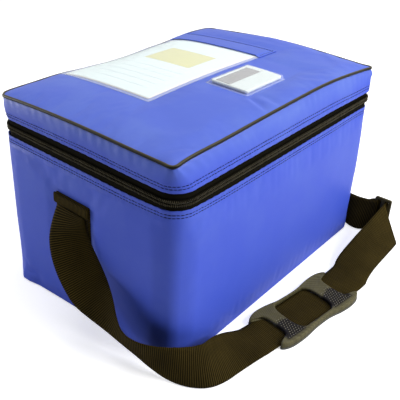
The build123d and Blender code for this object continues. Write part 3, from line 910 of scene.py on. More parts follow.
# walls, in mm: waves are (depth, grain, share of it upwards, seed), corners (side along x, along y, push)
bodyForm = {
    "belly": (1.6, 0.84),
    "bellyMargin": 5.0,
    "broadWave": (0.55, 60.0, 0.45, 3.1),
    "smallWave": (0.22, 19.0, 0.5, 7.7),
    "puckerDepth": 0.3,
    "puckerPitch": 11.0,
    "puckerFade": 7.0,
    "grooveDepth": 0.4,
    "grooveWidth": 1.3,
    "stitchDrops": (5.2, 8.6),
    "foldDepth": 0.28,
    "foldTurn": 0.55,
    "turnUnder": 3.5,
    "floorGap": 0.25,
    "hem": 1.0,
    "corners": ((1, -1, 3.0), (-1, 1, 1.4)),
    "cornersFrom": (20.0, 110.0),
    "foot": {
        "along": (-60.0, -10.0, 28.0, 48.0, 67.0, 88.0, 106.0, 119.0, 125.0, 132.0, 140.0, 152.5),
        "amount": (0.0, 1.2, 3.7, 4.9, 6.3, 7.8, 11.5, 12.0, 8.0, 3.0, 0.5, 0.0),
        "rise": 28.0,
    },
    "rimRise": 3.3,
    "rimReach": 46.0,
    "rimFrom": (130.0, 205.0),
}

# the simulated walls, in mm: sewn down at top and bottom and under the anchor patches, cut larger by a share
wallPuffForm = {
    "low": 6.0,
    "cell": 7.0,
    "sewn": 12.0,
    "patchAt": (12.0, 131.0),
    "patchHalf": (33.0, 37.0),
    "patchDepth": 6.0,
    "extra": 0.0035,
    "cap": 3.0,
    "foamGap": 0.8,
    "fadeLow": (4.0, 14.0),
    "fadeHigh": (14.0, 9.0),
}


# how far the rounded corners stand out, each given by its side along x and y and the amount in mm
def cornerPush(outs, corners):
    push = np.zeros(len(outs))
    for sideX, sideY, amount in corners:
        push = push + amount * 2 * np.clip(outs[:, 0] * sideX, 0, 1) * np.clip(outs[:, 1] * sideY, 0, 1)
    return push


# the left end wall spreads where it meets the floor, most near its back corner
def footSpread(plan, outs, height):
    foot = bodyForm["foot"]
    spread = np.interp(plan[:, 1], foot["along"], foot["amount"])
    return spread * np.clip(-outs[:, 0], 0, 1) ** 1.5 * math.exp(-((height / foot["rise"]) ** 1.5))


# how far the wall stands out at a ring of points, for one height
def wallPush(plan, outs, height):
    up = np.clip(height / bag["rim"], 0, 1)
    spots = raised(plan, height)

    def wave(depth, grain, upwards, seed):
        return depth * softWave(spots * (1, 1, upwards), grain, seed)

    belly = 0
    for axis, half in ((0, bag["halfX"]), (1, bag["halfY"])):
        along = np.clip(1 - np.abs(plan[:, axis]) / (half - bodyForm["bellyMargin"]), 0, 1)
        flat = np.abs(outs[:, 1 - axis]) > 0.99
        belly = belly + np.where(flat, bodyForm["belly"][axis] * smoothStep(along, 0, 0.6), 0)
    push = belly * math.sin(math.pi * min(1, up * 1.02)) ** 0.8
    push = push + wave(*bodyForm["broadWave"]) * math.sin(math.pi * up)
    push = push + wave(*bodyForm["smallWave"]) * (0.3 + 0.7 * up)
    fromRim = bag["rim"] - height
    swing = np.sin(2 * math.pi * ringRun / bodyForm["puckerPitch"] + wave(3, 40.0, 0, 1.3))
    push = push + bodyForm["puckerDepth"] * swing * math.exp(-max(0.0, fromRim - 4) / bodyForm["puckerFade"])
    for drop in bodyForm["stitchDrops"]:
        push = push - bodyForm["grooveDepth"] * float(bell(fromRim, drop, bodyForm["grooveWidth"]))
    turned = np.abs(outs[:, 0] * outs[:, 1]) * 2
    folds = np.sin(ringRun * bodyForm["foldTurn"] + wave(2, 22.0, 0.3, 5.5))
    push = push + bodyForm["foldDepth"] * turned * folds * (0.25 + 0.75 * bell(up, 0.1, 0.35))
    push = push + cornerPush(outs, bodyForm["corners"]) * smoothStep(height, *bodyForm["cornersFrom"])
    return push + footSpread(plan, outs, height)


# the walls between their seams, simulated: how far they stand out or in, by height and round the plan
def makeWallPuff():
    form = wallPuffForm
    heights = np.arange(form["low"], bag["rim"], form["cell"])
    spots, facing = [], []
    for height in heights:
        plan, outs = bodyPlan(height, 0.0)
        spots.append(ringAt(plan, outs, wallPush(plan, outs, height), height)[::2])
        facing.append(outs[::2])
    spots, facing = np.vstack(spots), np.vstack(facing)
    held = (spots[:, 2] < form["sewn"]) | (spots[:, 2] > bag["rim"] - form["sewn"])
    patch = np.abs(spots[:, 0]) > bag["halfX"] - form["patchDepth"]
    for axis, place, half in zip((1, 2), form["patchAt"], form["patchHalf"]):
        patch = patch & (np.abs(spots[:, axis] - place) < half)
    moved = settleCloth(spots, len(facing) // len(heights), True, held | patch, form["extra"], form["cap"])
    turned = np.abs(facing[:, 0] * facing[:, 1]) * 2
    out = np.clip((moved[:, :2] * facing).sum(axis=1), form["foamGap"] * (turned - 1), form["cap"])
    out = out.reshape(len(heights), -1)
    between = (out + np.roll(out, -1, axis=1)) / 2
    return heights, np.stack([out, between], axis=2).reshape(len(heights), -1)


def wallPuff(height):
    heights, field = wallField
    place = np.clip((height - heights[0]) / wallPuffForm["cell"], 0, len(heights) - 1.001)
    row = int(place)
    level = field[row] + (field[row + 1] - field[row]) * (place - row)
    level = (np.roll(level, 1) + level * 2 + np.roll(level, -1)) / 4
    start, end = (bag["rim"] - drop for drop in wallPuffForm["fadeHigh"])
    return level * smoothStep(height, *wallPuffForm["fadeLow"]) * (1 - smoothStep(height, start, end))


def bodyPlan(height, inset):
    flare = bag["flare"] * max(0.0, 1 - height / bag["rim"])
    return planRing(bag["halfX"] + flare - inset, bag["halfY"] - inset, bag["corner"] - inset)


# the rim stands a little higher round the front left corner
def rimLevel(plan, height):
    gap = np.hypot(plan[:, 0] + bag["halfX"], plan[:, 1] + bag["halfY"])
    near = bell(gap, 0, bodyForm["rimReach"])
    return height + bodyForm["rimRise"] * near * smoothStep(height, *bodyForm["rimFrom"])


def bodyRing(height, inset=0.0, lift=0.0):
    plan, outs = bodyPlan(height, inset)
    return ringAt(plan, outs, wallPush(plan, outs, height) + wallPuff(height) + lift, rimLevel(plan, height))


wallField = makeWallPuff()
print("walls settled, out by up to", round(float(wallField[1].max()), 2), "mm")


def makeBody():
    turn, low, rim = bodyForm["turnUnder"], bodyForm["floorGap"], bag["rim"]
    rings = [bodyRing(low, inset) for inset in (9.0, 6.0, turn + 0.6)]
    for step in range(1, 7):
        angle = math.pi / 2 * step / 6
        rings.append(bodyRing(low + turn * (1 - math.cos(angle)), turn * (1 - math.sin(angle))))
    heights = np.concatenate([np.arange(7.0, 190.0, 4.0), np.arange(190.0, rim - 0.6, 1.2)])
    rings.extend(bodyRing(height) for height in heights)
    for inset, drop in ((0.1, 0.35), (0.35, 0.05), (0.65, 0.0), (0.95, 0.1), (1.1, 0.5)):
        plan, outs = bodyPlan(rim, inset)
        rings.append(ringAt(plan, outs, wallPush(*bodyPlan(rim, 0), rim), rimLevel(plan, rim) - drop))
    for height in (206.0, 203.8, 200.4, 197.0, 170.0, 120.0, 70.0, 30.0, turn + 1.0):
        rings.append(bodyRing(height, bodyForm["hem"]))
    rings.append(bodyRing(turn * 0.45 + 0.9, turn * 0.3 + 0.6))
    rings.extend(bodyRing(1.05, inset) for inset in (turn + 0.6, 6.0, 9.0))
    piece = ringSkin("bodyShell", rings, blueCloth)
    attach(piece, "carrier")
    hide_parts("body_panel")


# points over a rounded rectangle: a square grid whose corner cells are bent round
def roundedGrid(halfX, halfY, corner, cell):
    countX, countY = max(4, round(2 * halfX / cell)), max(4, round(2 * halfY / cell))
    points = []
    for j in range(countY + 1):
        for i in range(countX + 1):
            x, y = halfX * (2 * i / countX - 1), halfY * (2 * j / countY - 1)
            a = (abs(x) - (halfX - corner)) / corner if corner else -1
            b = (abs(y) - (halfY - corner)) / corner if corner else -1
            if a > 0 and b > 0:
                x = math.copysign(halfX - corner + corner * a * math.sqrt(1 - b * b / 2), x)
                y = math.copysign(halfY - corner + corner * b * math.sqrt(1 - a * a / 2), y)
            points.append((x, y))
    return np.array(points), countX, countY


# the same between four edges: its points about the middle, its counts, the middle, and x and y in place
def gridBetween(left, right, front, back, corner, cell):
    flat, countX, countY = roundedGrid((right - left) / 2, (back - front) / 2, corner, cell)
    centre = ((left + right) / 2, (front + back) / 2)
    return flat, countX, countY, centre, flat[:, 0] + centre[0], flat[:, 1] + centre[1]


# faces of a closed sheet: two layers of a grid, the upper one first, joined at their rims
def sheetFaces(countX, countY):
    wide, total = countX + 1, (countX + 1) * (countY + 1)
    faces = []
    for j in range(countY):
        for i in range(countX):
            a = j * wide + i
            faces.append((a, a + 1, a + 1 + wide, a + wide))
            faces.append((total + a, total + a + wide, total + a + 1 + wide, total + a + 1))
    rim = list(range(wide))
    rim += [j * wide + countX for j in range(1, countY + 1)]
    rim += [countY * wide + i for i in range(countX - 1, -1, -1)]
    rim += [j * wide for j in range(countY - 1, 0, -1)]
    for a, b in zip(rim, rim[1:] + rim[:1]):
        faces.append((total + a, total + b, b, a))
    return faces


# closed sheet from an upper and a lower surface over the same grid
def sheetPiece(name, flat, countX, countY, upper, lower, material, centre=(0, 0)):
    spots = flat + np.array(centre)
    points = np.vstack([raised(spots, upper), raised(spots, lower)])
    return addPiece(name, points * mm, sheetFaces(countX, countY), material)


base = {"inset": 4.6, "corner": 20.5, "cell": 8.0, "level": 0.95, "gap": 0.12, "ripple": 0.12, "grain": 30.0}


def makeBase():
    halfX = bag["halfX"] + bag["flare"] - base["inset"]
    flat, countX, countY = roundedGrid(halfX, bag["halfY"] - base["inset"], base["corner"], base["cell"])
    lower = base["gap"] + np.abs(base["ripple"] * flatWave(*flat.T, base["grain"], 2.2))
    piece = sheetPiece("basePanel", flat, countX, countY, base["level"], lower, blueCloth)
    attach(piece, "carrier")
    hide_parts("base_panel")


makeBody()
makeBase()
print("body of the bag made")

# repeats along a line, made with Geometry Nodes: stitches and zip teeth
rowShape = {"segments": 8, "rings": 5, "seed": 7, "uneven": 0.12}


# an empty Geometry Nodes tree with its named inputs and its output
def newTree(name, inputs, output):
    tree = bpy.data.node_groups.new(name, "GeometryNodeTree")
    for label, kind in inputs.items():
        tree.interface.new_socket(label, in_out="INPUT", socket_type=f"NodeSocket{kind}")
    tree.interface.new_socket(output, in_out="OUTPUT", socket_type="NodeSocketGeometry")
    return tree


# ends a tree: the instances are made real, painted and sent out
def endTree(tree, start, placed):
    real = addNode(tree, "GeometryNodeRealizeInstances")
    painted = addNode(tree, "GeometryNodeSetMaterial")
    end = addNode(tree, "NodeGroupOutput")
    tree.links.new(placed.outputs["Instances"], real.inputs["Geometry"])
    tree.links.new(real.outputs["Geometry"], painted.inputs["Geometry"])
    tree.links.new(start.outputs["Finish"], painted.inputs["Material"])
    tree.links.new(painted.outputs["Geometry"], end.inputs[0])
    return tree


def makeRowTree():
    inputs = {"Line": "Geometry", "Pitch": "Float", "Size": "Vector", "Finish": "Material"}
    tree = newTree("repeatAlongLine", inputs, "Pieces")
    start = addNode(tree, "NodeGroupInput")
    curve = addNode(tree, "GeometryNodeMeshToCurve")
    spaced = addNode(tree, "GeometryNodeResampleCurve", mode="LENGTH")
    bead = addNode(tree, "GeometryNodeMeshUVSphere")
    bead.inputs["Segments"].default_value = rowShape["segments"]
    bead.inputs["Rings"].default_value = rowShape["rings"]
    bead.inputs["Radius"].default_value = 0.5
    tangent = addNode(tree, "GeometryNodeInputTangent")
    along = addNode(tree, "FunctionNodeAlignRotationToVector", axis="X")
    upright = addNode(tree, "FunctionNodeAlignRotationToVector", axis="Z", pivot_axis="X")
    upright.inputs["Vector"].default_value = (0, 0, 1)
    chance = addNode(tree, "FunctionNodeRandomValue", data_type="FLOAT")
    chance.inputs[2].default_value = 1 - rowShape["uneven"]
    chance.inputs[3].default_value = 1 + rowShape["uneven"]
    chance.inputs["Seed"].default_value = rowShape["seed"]
    scaled = addNode(tree, "ShaderNodeVectorMath", operation="SCALE")
    placed = addNode(tree, "GeometryNodeInstanceOnPoints")
    link = tree.links.new
    link(start.outputs["Line"], curve.inputs["Mesh"])
    link(curve.outputs["Curve"], spaced.inputs["Curve"])
    link(start.outputs["Pitch"], spaced.inputs["Length"])
    link(tangent.outputs["Tangent"], along.inputs["Vector"])
    link(along.outputs["Rotation"], upright.inputs["Rotation"])
    link(chance.outputs[1], scaled.inputs["Scale"])
    link(start.outputs["Size"], scaled.inputs[0])
    link(spaced.outputs["Curve"], placed.inputs["Points"])
    link(bead.outputs["Mesh"], placed.inputs["Instance"])
    link(upright.outputs["Rotation"], placed.inputs["Rotation"])
    link(scaled.outputs[0], placed.inputs["Scale"])
    return endTree(tree, start, placed)


rowTree = makeRowTree()


# a tree's result on an object, as a plain mesh piece; values go in by the sockets' identifiers
def bakeTree(holder, tree, values, name):
    grown = holder.modifiers.new("grown", "NODES")
    grown.node_group = tree
    for item in tree.interface.items_tree:
        if item.item_type == "SOCKET" and item.in_out == "INPUT" and item.name in values:
            grown[item.identifier] = values[item.name]
    holder.update_tag()
    bpy.context.view_layer.update()
    mesh = appliedMesh(holder)
    bpy.data.objects.remove(holder)
    mesh.name = name
    smoothFaces(mesh)
    return putInScene(name, mesh)


# a mesh of points and edges only, given in mm, for a tree to work on
def makeHolder(name, points, edges):
    mesh = bpy.data.meshes.new(name)
    mesh.from_pydata([tuple(p) for p in np.asarray(points) * mm], edges, [])
    return putInScene(name, mesh)


# beads of one size along lines given in mm; a closed line ends where it starts
def rowPiece(name, lines, pitch, size, material, body, closed=False):
    points, edges = [], []
    for line in lines:
        start = len(points)
        points.extend(line)
        edges.extend((start + i, start + i + 1) for i in range(len(line) - 1))
        if closed:
            edges.append((len(points) - 1, start))
    values = {"Pitch": pitch * mm, "Size": tuple(s * mm for s in size), "Finish": material}
    piece = bakeTree(makeHolder(name + "Line", points, edges), rowTree, values, name)
    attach(piece, body)


stitch = {"pitch": 4.6, "size": (4.3, 0.85, 0.85), "lift": 0.15}


def stitchRow(name, lines, material, body, closed=False):
    rowPiece(name, lines, stitch["pitch"], stitch["size"], material, body, closed)


bodySeams = [bodyRing(bag["rim"] - drop, lift=stitch["lift"]) for drop in bodyForm["stitchDrops"]]
stitchRow("bodyStitches", bodySeams, moulded["darkThread"], "carrier", closed=True)
print("body stitched")

# zip, in mm: the seam's height, where the line ends at the back, then tapes, coils, teeth and edge cords
zipParts = {
    "seam": 221.0,
    "end": 149.0,
    "wave": 0.12,
    "tapeInset": 1.55,
    "tapeHalf": 0.35,
    "tapeTuck": 4.5,
    "tapeGap": 3.3,
    "tapeRows": 5,
    "coreHalf": 1.35,
    "coreOut": 1.5,
    "coreCentre": 1.85,
    "coreInset": -0.1,
    "toothPitch": 2.1,
    "toothSize": (0.8, 3.0, 3.2),
    "toothRise": 1.95,
    "toothInset": -0.75,
    "cordOut": 0.9,
    "cordHalf": 0.7,
    "cordDrop": 3.4,
    "cordInset": 0.35,
    "corners": ((1, -1, 2.8), (-1, 1, -1.0)),
}


# the open line that the zip follows: right back corner, right end, front, left end, left back corner
def zipLine(inset, height):
    plan, outs = planRing(bag["halfX"] - inset, bag["halfY"] - inset, bag["corner"] - inset)
    back = (outs[:, 1] > 0.99) & (np.abs(plan[:, 0]) < zipParts["end"])
    first = int(np.argmax(back))
    last = first + int(back.sum())
    order = list(range(last, len(plan))) + list(range(first))
    plan = plan + outs * cornerPush(outs, zipParts["corners"])[:, None]
    spots = raised(plan[order], height)
    spots[:, 2] += zipParts["wave"] * softWave(spots * (1, 1, 0), 35.0, 4.4)
    return spots[::-1], outs[order][::-1]


# strip with a closed section swept along the zip's line; section points are (outwards, up)
def zipStrip(name, section, material, height, inset):
    line, outs = zipLine(inset, height)
    loops, uv = [], []
    for spot, out, along in zip(line, outs, lineRun(line)):
        loop = [(spot[0] + out[0] * o, spot[1] + out[1] * o, spot[2] + u) for o, u in section]
        loops.append(np.array(loop))
        uv.extend((along, spot[2] + u) for o, u in section)
    return tubeSkin(name, loops, material, uv=uv)


def oval(halfOut, halfUp, count=10):
    angles = [2 * math.pi * i / count for i in range(count)]
    return [(halfOut * math.cos(angle), halfUp * math.sin(angle)) for angle in angles]


# flat upright section with thinner edges
def slab(half, low, high, rows):
    outer = [(half * (0.4 if k in (0, rows) else 1), low + (high - low) * k / rows) for k in range(rows + 1)]
    return outer + [(-o, u) for o, u in outer[::-1]]


def makeZip():
    seam = zipParts["seam"]
    ends = (bag["rim"] - zipParts["tapeTuck"], lid["low"] + zipParts["tapeTuck"])
    coreSection = oval(zipParts["coreOut"], zipParts["coreHalf"])
    cordSection = oval(zipParts["cordOut"], zipParts["cordHalf"], 8)
    for side, body, place, far in ((-1, "carrier", "lower", ends[0]), (1, "lid", "upper", ends[1])):
        low, high = sorted((seam + side * zipParts["tapeGap"], far))
        tapeSection = slab(zipParts["tapeHalf"], low, high, zipParts["tapeRows"])
        coreAt = seam + side * zipParts["coreCentre"]
        cordAt = seam + side * zipParts["cordDrop"]
        nylon = moulded["zipNylon"]
        tape = zipStrip(f"zipTape_{place}", tapeSection, zipTape, 0.0, zipParts["tapeInset"])
        core = zipStrip(f"zipCore_{place}", coreSection, nylon, coreAt, zipParts["coreInset"])
        edge = zipStrip(f"zipCord_{place}", cordSection, zipTape, cordAt, zipParts["cordInset"])
        for piece, node in ((tape, f"zip_tape_{place}"), (core, f"zip_coil_{place}")):
            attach(piece, body)
            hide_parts(node)
        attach(edge, body)
        line, outs = zipLine(zipParts["toothInset"], seam + side * zipParts["toothRise"])
        line = line[outs[:, 1] < 0.95]
        if side > 0:  # the upper teeth stand between the lower ones
            ahead = np.gradient(line, axis=0)
            line = line + ahead / np.linalg.norm(ahead, axis=1)[:, None] * zipParts["toothPitch"] / 2
        pitch, size = zipParts["toothPitch"], zipParts["toothSize"]
        rowPiece(f"zipTeeth_{place}", [line], pitch, size, moulded["toothPaintedGlint"], body)


makeZip()
print("zip made")

# lid, in mm: dips of its lower edge are (place, width, height)
lidForm = {
    "bulge": 1.6,
    "cell": 3.2,
    "skin": 0.9,
    "margin": 0.6,
    "foamInset": 6.0,
    "foamUnder": 2.2,
    "stitchRises": (5.2, 8.6),
    "frontDip": (175.0, 55.0, 1.6),
    "leftRise": (0.0, 75.0, 1.1),
    "pipingHalf": (1.8, 2.1),
    "pipingCentre": (-0.3, -0.6),
    "pipingDrop": 2.2,
    "roll": 3.0,
    "rollRight": 3.0,
    "rollWidth": 6.5,
    "rollFade": 38.0,
    "corners": ((1, -1, 3.2), (-1, 1, -2.2)),
    "topCorners": ((1, -1, 5.0), (-1, 1, -2.6), (-1, -1, 2.4)),
    "cornerReach": 8.0,
}

# how the lid's edges leave the crown, in mm: bells along the edge as (place, width, height), and their reach;
# the left edge follows the crown
lidEdges = {
    "front": {"bells": ((-185.0, 45.0, 3.4), (90.0, 75.0, 2.5)), "reach": 90.0, "power": 2.0},
    "right": {"bells": ((0.0, 85.0, 3.2),), "reach": 120.0, "power": 1.5},
    "back": {
        "bells": ((-8.0, 100.0, -14.0), (-150.0, 35.0, -1.5), (100.0, 42.0, -3.2)),
        "reach": 107.0,
        "power": 4.0,
    },
}

# creases in the top cloth: start, end, width and depth in mm
lidCreases = [
    ((-28.0, -104.0), (-42.0, -142.0), 5.0, 1.6),
    ((-12.0, -110.0), (-18.0, -143.0), 6.0, 0.9),
    ((70.0, -110.0), (96.0, -141.0), 8.0, 0.8),
    ((168.0, -60.0), (178.0, 70.0), 11.0, 0.6),
    ((140.0, -125.0), (196.0, -60.0), 9.0, 0.8),
    ((-196.0, -112.0), (-150.0, -142.0), 9.0, 1.0),
    ((-198.0, 60.0), (-190.0, -40.0), 9.0, 0.6),
    ((-120.0, -40.0), (-150.0, -110.0), 16.0, 0.5),
]


def creasePush(x, y):
    push = np.zeros(len(x))
    for (x0, y0), (x1, y1), width, depth in lidCreases:
        dx, dy = x1 - x0, y1 - y0
        length = math.hypot(dx, dy)
        along = ((x - x0) * dx + (y - y0) * dy) / length**2
        off = ((x - x0) * dy - (y - y0) * dx) / length
        fade = smoothStep(along, -0.15, 0.25) * (1 - smoothStep(along, 0.75, 1.15))
        push = push - depth * fade * (bell(off, 0, width) - 0.6 * bell(off, width * 1.6, width))
    return push


# distances in mm from the lid's front, right, back and left edges
def edgeGaps(x, y):
    front, back = lid["shiftY"] - lid["topHalfY"], lid["shiftY"] + lid["topHalfY"]
    return y - front, lid["topHalfX"] - x, back - y, x + lid["topHalfX"]


# the lid's height where its edges and crown lead, without the roll along the piping
def lidHeight(x, y):
    x, y = np.asarray(x, float), np.asarray(y, float)
    height = crownHeight(x, y)
    for form, gap, along in zip(lidEdges.values(), edgeGaps(x, y), (x, y, x)):
        fall = np.clip(1 - np.clip(gap, 0, None) / form["reach"], 0, 1) ** form["power"]
        for place, width, rise in form["bells"]:
            height = height + rise * bell(along, place, width) * fall
    return height


# the simulated top cloth, in mm: what lies flat under the pockets is (left, right, front, back, soft edge)
topPuff = {
    "cell": 5.0,
    "extra": 0.0022,
    "cap": 2.6,
    "seam": 3.0,
    "window": (-119.0, 149.0, -29.0, 144.0),
    "pouch": (-30.0, 105.0, -103.5, -34.5),
    "flat": ((-116.0, 146.0, -26.0, 141.0, 1.0), (-20.0, 105.0, -101.0, -37.0, 6.0)),
    "field": None,
}


# how far points are inside a rectangle, by the nearest of its edges
def depthInside(x, y, left, right, front, back):
    return np.minimum(np.minimum(x - left, right - x), np.minimum(y - front, back - y))


# the top cloth between its seams, simulated: it is sewn down at the piping, round the window and at the pouch
def makeTopPuff():
    flat, countX, countY = roundedGrid(lid["topHalfX"], lid["topHalfY"], 0.0, topPuff["cell"])
    x, y = flat[:, 0], flat[:, 1] + lid["shiftY"]
    held = np.array(edgeGaps(x, y)).min(axis=0) < topPuff["seam"]
    for part in ("window", "pouch"):
        held = held | (depthInside(x, y, *topPuff[part]) > 0)
    spots = np.column_stack([x, y, topHeight(x, y)])
    moved = settleCloth(spots, countX + 1, False, held, topPuff["extra"], topPuff["cap"])
    topPuff["field"] = moved[:, 2].reshape(countY + 1, countX + 1)
    print("lid settled, up by up to", round(float(moved[:, 2].max()), 2), "mm")


def puffAt(x, y):
    field = topPuff["field"]
    if field is None:
        return np.zeros(np.shape(x))
    rows, columns = field.shape
    across = np.clip((x / lid["topHalfX"] + 1) / 2, 0, 0.9999) * (columns - 1)
    along = np.clip(((y - lid["shiftY"]) / lid["topHalfY"] + 1) / 2, 0, 0.9999) * (rows - 1)
    i, j = across.astype(int), along.astype(int)
    u, v = across - i, along - j
    near = field[j, i] * (1 - u) + field[j, i + 1] * u
    far = field[j + 1, i] * (1 - u) + field[j + 1, i + 1] * u
    return near * (1 - v) + far * v


# height of the padded top cloth: it rolls up from the piping and is slightly wavy near it
def topHeight(x, y):
    x, y = np.asarray(x, float), np.asarray(y, float)
    gaps = np.clip(np.array(edgeGaps(x, y)), 0, None)
    near = np.clip(-8 * np.log(np.exp(-gaps / 8).sum(axis=0)), 0, None)
    roll = lidForm["roll"] + lidForm["rollRight"] * bell(gaps[1], 0, 60.0) * bell(y, 0, 120.0)
    climb = np.prod(1 - np.exp(-gaps / lidForm["rollWidth"]), axis=0)
    wave = 0.5 * flatWave(x, y, 36.0, 9.1) + 0.2 * flatWave(x, y, 14.0, 2.7)
    tucks = 0.35 * flatWave(x, y, 8.0, 6.3) * smoothStep(near, 0, 3) * (1 - smoothStep(near, 5.0, 16.0))
    calm = smoothStep(near, 0, 6) * (1 - 0.75 * smoothStep(near, 25.0, 60.0))
    swell = roll * climb * np.exp(-near / lidForm["rollFade"]) + wave * calm + tucks + puffAt(x, y)
    swell = swell + creasePush(x, y) * smoothStep(near, 0, 5)
    for *sides, edge in topPuff["flat"]:
        swell = swell * (1 - smoothStep(depthInside(x, y, *sides), -edge, 5.0))
    return lidHeight(x, y) + swell - 0.3 * (1 - smoothStep(near, 0, 2))


# moves points of the lid's top edge, given about its middle, where a corner is pulled out or drawn in
def cornerReach(points, share=1.0):
    moved = np.array(points, float)
    for sideX, sideY, amount in lidForm["topCorners"]:
        gap = np.hypot(lid["topHalfX"] - sideX * points[:, 0], lid["topHalfY"] - sideY * points[:, 1])
        far = amount * share * bell(gap, 0, lidForm["cornerReach"]) / math.sqrt(2)
        moved = moved + np.column_stack([far * sideX, far * sideY])
    return moved


# ring on the lid's side: share 0 is its lower edge, 1 is under the piping
def lidRing(share, inset=0.0, push=0.0):
    halfX = lid["halfX"] + (lid["topHalfX"] - lid["halfX"]) * share
    halfY = lid["halfY"] + (lid["topHalfY"] - lid["halfY"]) * share
    corner = lid["corner"] + (lid["topCorner"] - lid["corner"]) * share
    plan, outs = planRing(halfX - inset, halfY - inset, corner - inset)
    plan = cornerReach(plan, smoothStep(share, 0.5, 0.95)) + np.array((0, lid["shiftY"] * share))
    top, _ = planRing(lid["topHalfX"], lid["topHalfY"], lid["topCorner"])
    top = top + np.array((0, lid["shiftY"]))
    high = lidHeight(top[:, 0], top[:, 1]) - lidForm["pipingDrop"]
    place, width, dip = lidForm["frontDip"]
    low = lid["low"] - dip * bell(plan[:, 0], place, width) * (outs[:, 1] < 0)
    place, width, rise = lidForm["leftRise"]
    low = low + rise * bell(plan[:, 1], place, width) * (outs[:, 0] < 0)
    return ringAt(plan, outs, push, low + (high - low) * share)


# the lid's side cloth, in mm: pucker (depth, pitch, fade), fold (depth, pitch, slant), groove (depth, width)
bandForm = {
    "tall": 28.0,
    "run": 30.0,
    "pucker": (0.25, 12.0, 6.0),
    "fold": (0.55, 13.5, 0.25),
    "foldAt": (0.82, 0.22),
    "groove": (0.45, 1.3),
    "underPiping": 0.6,
}


# how far the lid's side stands out at one share of its height
def bandPush(share, lift=0.0):
    plan, outs = planRing(lid["halfX"], lid["halfY"], lid["corner"])
    spots = raised(plan, share * bandForm["tall"])
    push = lidForm["bulge"] * math.sin(math.pi * min(1, max(0, share))) ** 0.7
    push = push + 0.3 * softWave(spots, 30.0, 8.2) + 0.15 * softWave(spots, 10.0, 5.9)
    rise = share * bandForm["run"]
    drift = 3 * softWave(spots * (1, 1, 0), 40.0, 6.1)
    depth, pitch, fade = bandForm["pucker"]
    puckers = np.sin(2 * math.pi * ringRun / pitch + drift)
    push = push + depth * puckers * math.exp(-max(0.0, rise - 4) / fade)
    depth, pitch, slant = bandForm["fold"]
    gathers = 0.4 + softWave(spots * (1, 1, 0), 55.0, 3.7)
    folds = np.sin(2 * math.pi * (ringRun + slant * rise) / pitch + drift)
    push = push + depth * gathers * folds * float(bell(share, *bandForm["foldAt"]))
    depth, width = bandForm["groove"]
    for place in lidForm["stitchRises"]:
        push = push - depth * float(bell(rise, place, width))
    push = push + cornerPush(outs, lidForm["corners"]) * (1 - smoothStep(share, 0.75, 1.0))
    return push - bandForm["underPiping"] * smoothStep(share, 0.95, 1.0) + lift


def makeLidBand():
    shares = np.concatenate([np.arange(0.02, 0.40, 0.03), np.arange(0.40, 1.0, 0.045), [1.0]])
    rings = [lidRing(share, 0.0, bandPush(share)) for share in shares]
    rings += [lidRing(1.0, 1.2, 0.0), lidRing(0.6, 1.4, 0.0), lidRing(0.2, 1.4, 0.0), lidRing(0.02, 1.3, 0.0)]
    rings += [lidRing(0.0, 0.95, bandPush(0.0) * 0.5), lidRing(0.0, 0.25, bandPush(0.0))]
    piece = ringSkin("lidBand", rings, blueCloth)
    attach(piece, "lid")
    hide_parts("lid_band")
    shares = [rise / bandForm["run"] for rise in lidForm["stitchRises"]]
    lines = [lidRing(share, 0.0, bandPush(share, stitch["lift"])) for share in shares]
    stitchRow("lidStitches", lines, moulded["darkThread"], "lid", closed=True)


def makeLidTop():
    shift = (0.0, lid["shiftY"])
    halfX, halfY = lid["topHalfX"] + lidForm["margin"], lid["topHalfY"] + lidForm["margin"]
    flat, countX, countY = roundedGrid(halfX, halfY, lid["topCorner"] + 0.4, lidForm["cell"])
    upper = topHeight(*(flat + shift).T)
    lower = upper - lidForm["skin"]
    piece = sheetPiece("lidTop", cornerReach(flat), countX, countY, upper, lower, blueCloth, shift)
    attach(piece, "lid")
    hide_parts("lid_top")

    halfX, halfY = lid["topHalfX"] - lidForm["foamInset"], lid["topHalfY"] - lidForm["foamInset"]
    flat, countX, countY = roundedGrid(halfX, halfY, 10.0, 9.0)
    upper = topHeight(*(flat + shift).T) - lidForm["foamUnder"]
    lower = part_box("lid_foam")[0].z / mm
    foam = sheetPiece("lidFoam", flat, countX, countY, upper, lower, foamCells, shift)
    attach(foam, "lid")
    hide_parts("lid_foam")


def makePiping():
    shift = (0, lid["shiftY"])
    plan, outs = planRing(lid["topHalfX"], lid["topHalfY"], lid["topCorner"])
    high = lidHeight(*(plan + shift).T)
    plan = cornerReach(plan) + shift
    out, up = lidForm["pipingCentre"]
    rings = []
    for stepOut, stepUp in oval(*lidForm["pipingHalf"], 12):
        rings.append(ringAt(plan, outs, out + stepOut, high + up + stepUp))
    piece = ringSkin("lidPiping", rings, pipingVinyl)
    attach(piece, "lid")
    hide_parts("lid_piping")


makeTopPuff()
makeLidBand()
makeLidTop()
makePiping()
print("lid made")

# card, its window and the header strip, in mm
pocket = {
    "centre": (-1.0, 57.3),
    "card": (109.0, 77.5),
    "margin": 6.0,
    "cardLift": 0.65,
    "cardThick": 0.45,
    "weldLift": 0.28,
    "filmLift": 1.75,
    "filmThick": 0.3,
    "headerDepth": 44.0,
    "headerTuck": 6.0,
    "headerLift": 2.6,
    "headerThick": 1.1,
    "headerMargin": 0.5,
    "headerSeam": 5.0,
    "headerSideSeam": 3.0,
}


def makeCardPiece():
    flat, countX, countY = roundedGrid(*pocket["card"], 1.5, 5.0)
    x, y = (flat + pocket["centre"]).T
    low = lidHeight(x, y) + (pocket["cardLift"] + 0.12 * flatWave(x, y, 60.0, 1.9))
    high = low + pocket["cardThick"]
    card = sheetPiece("labelCard", flat, countX, countY, high, low, cardPaper, pocket["centre"])
    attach(card, "card")
    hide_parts("label_card")


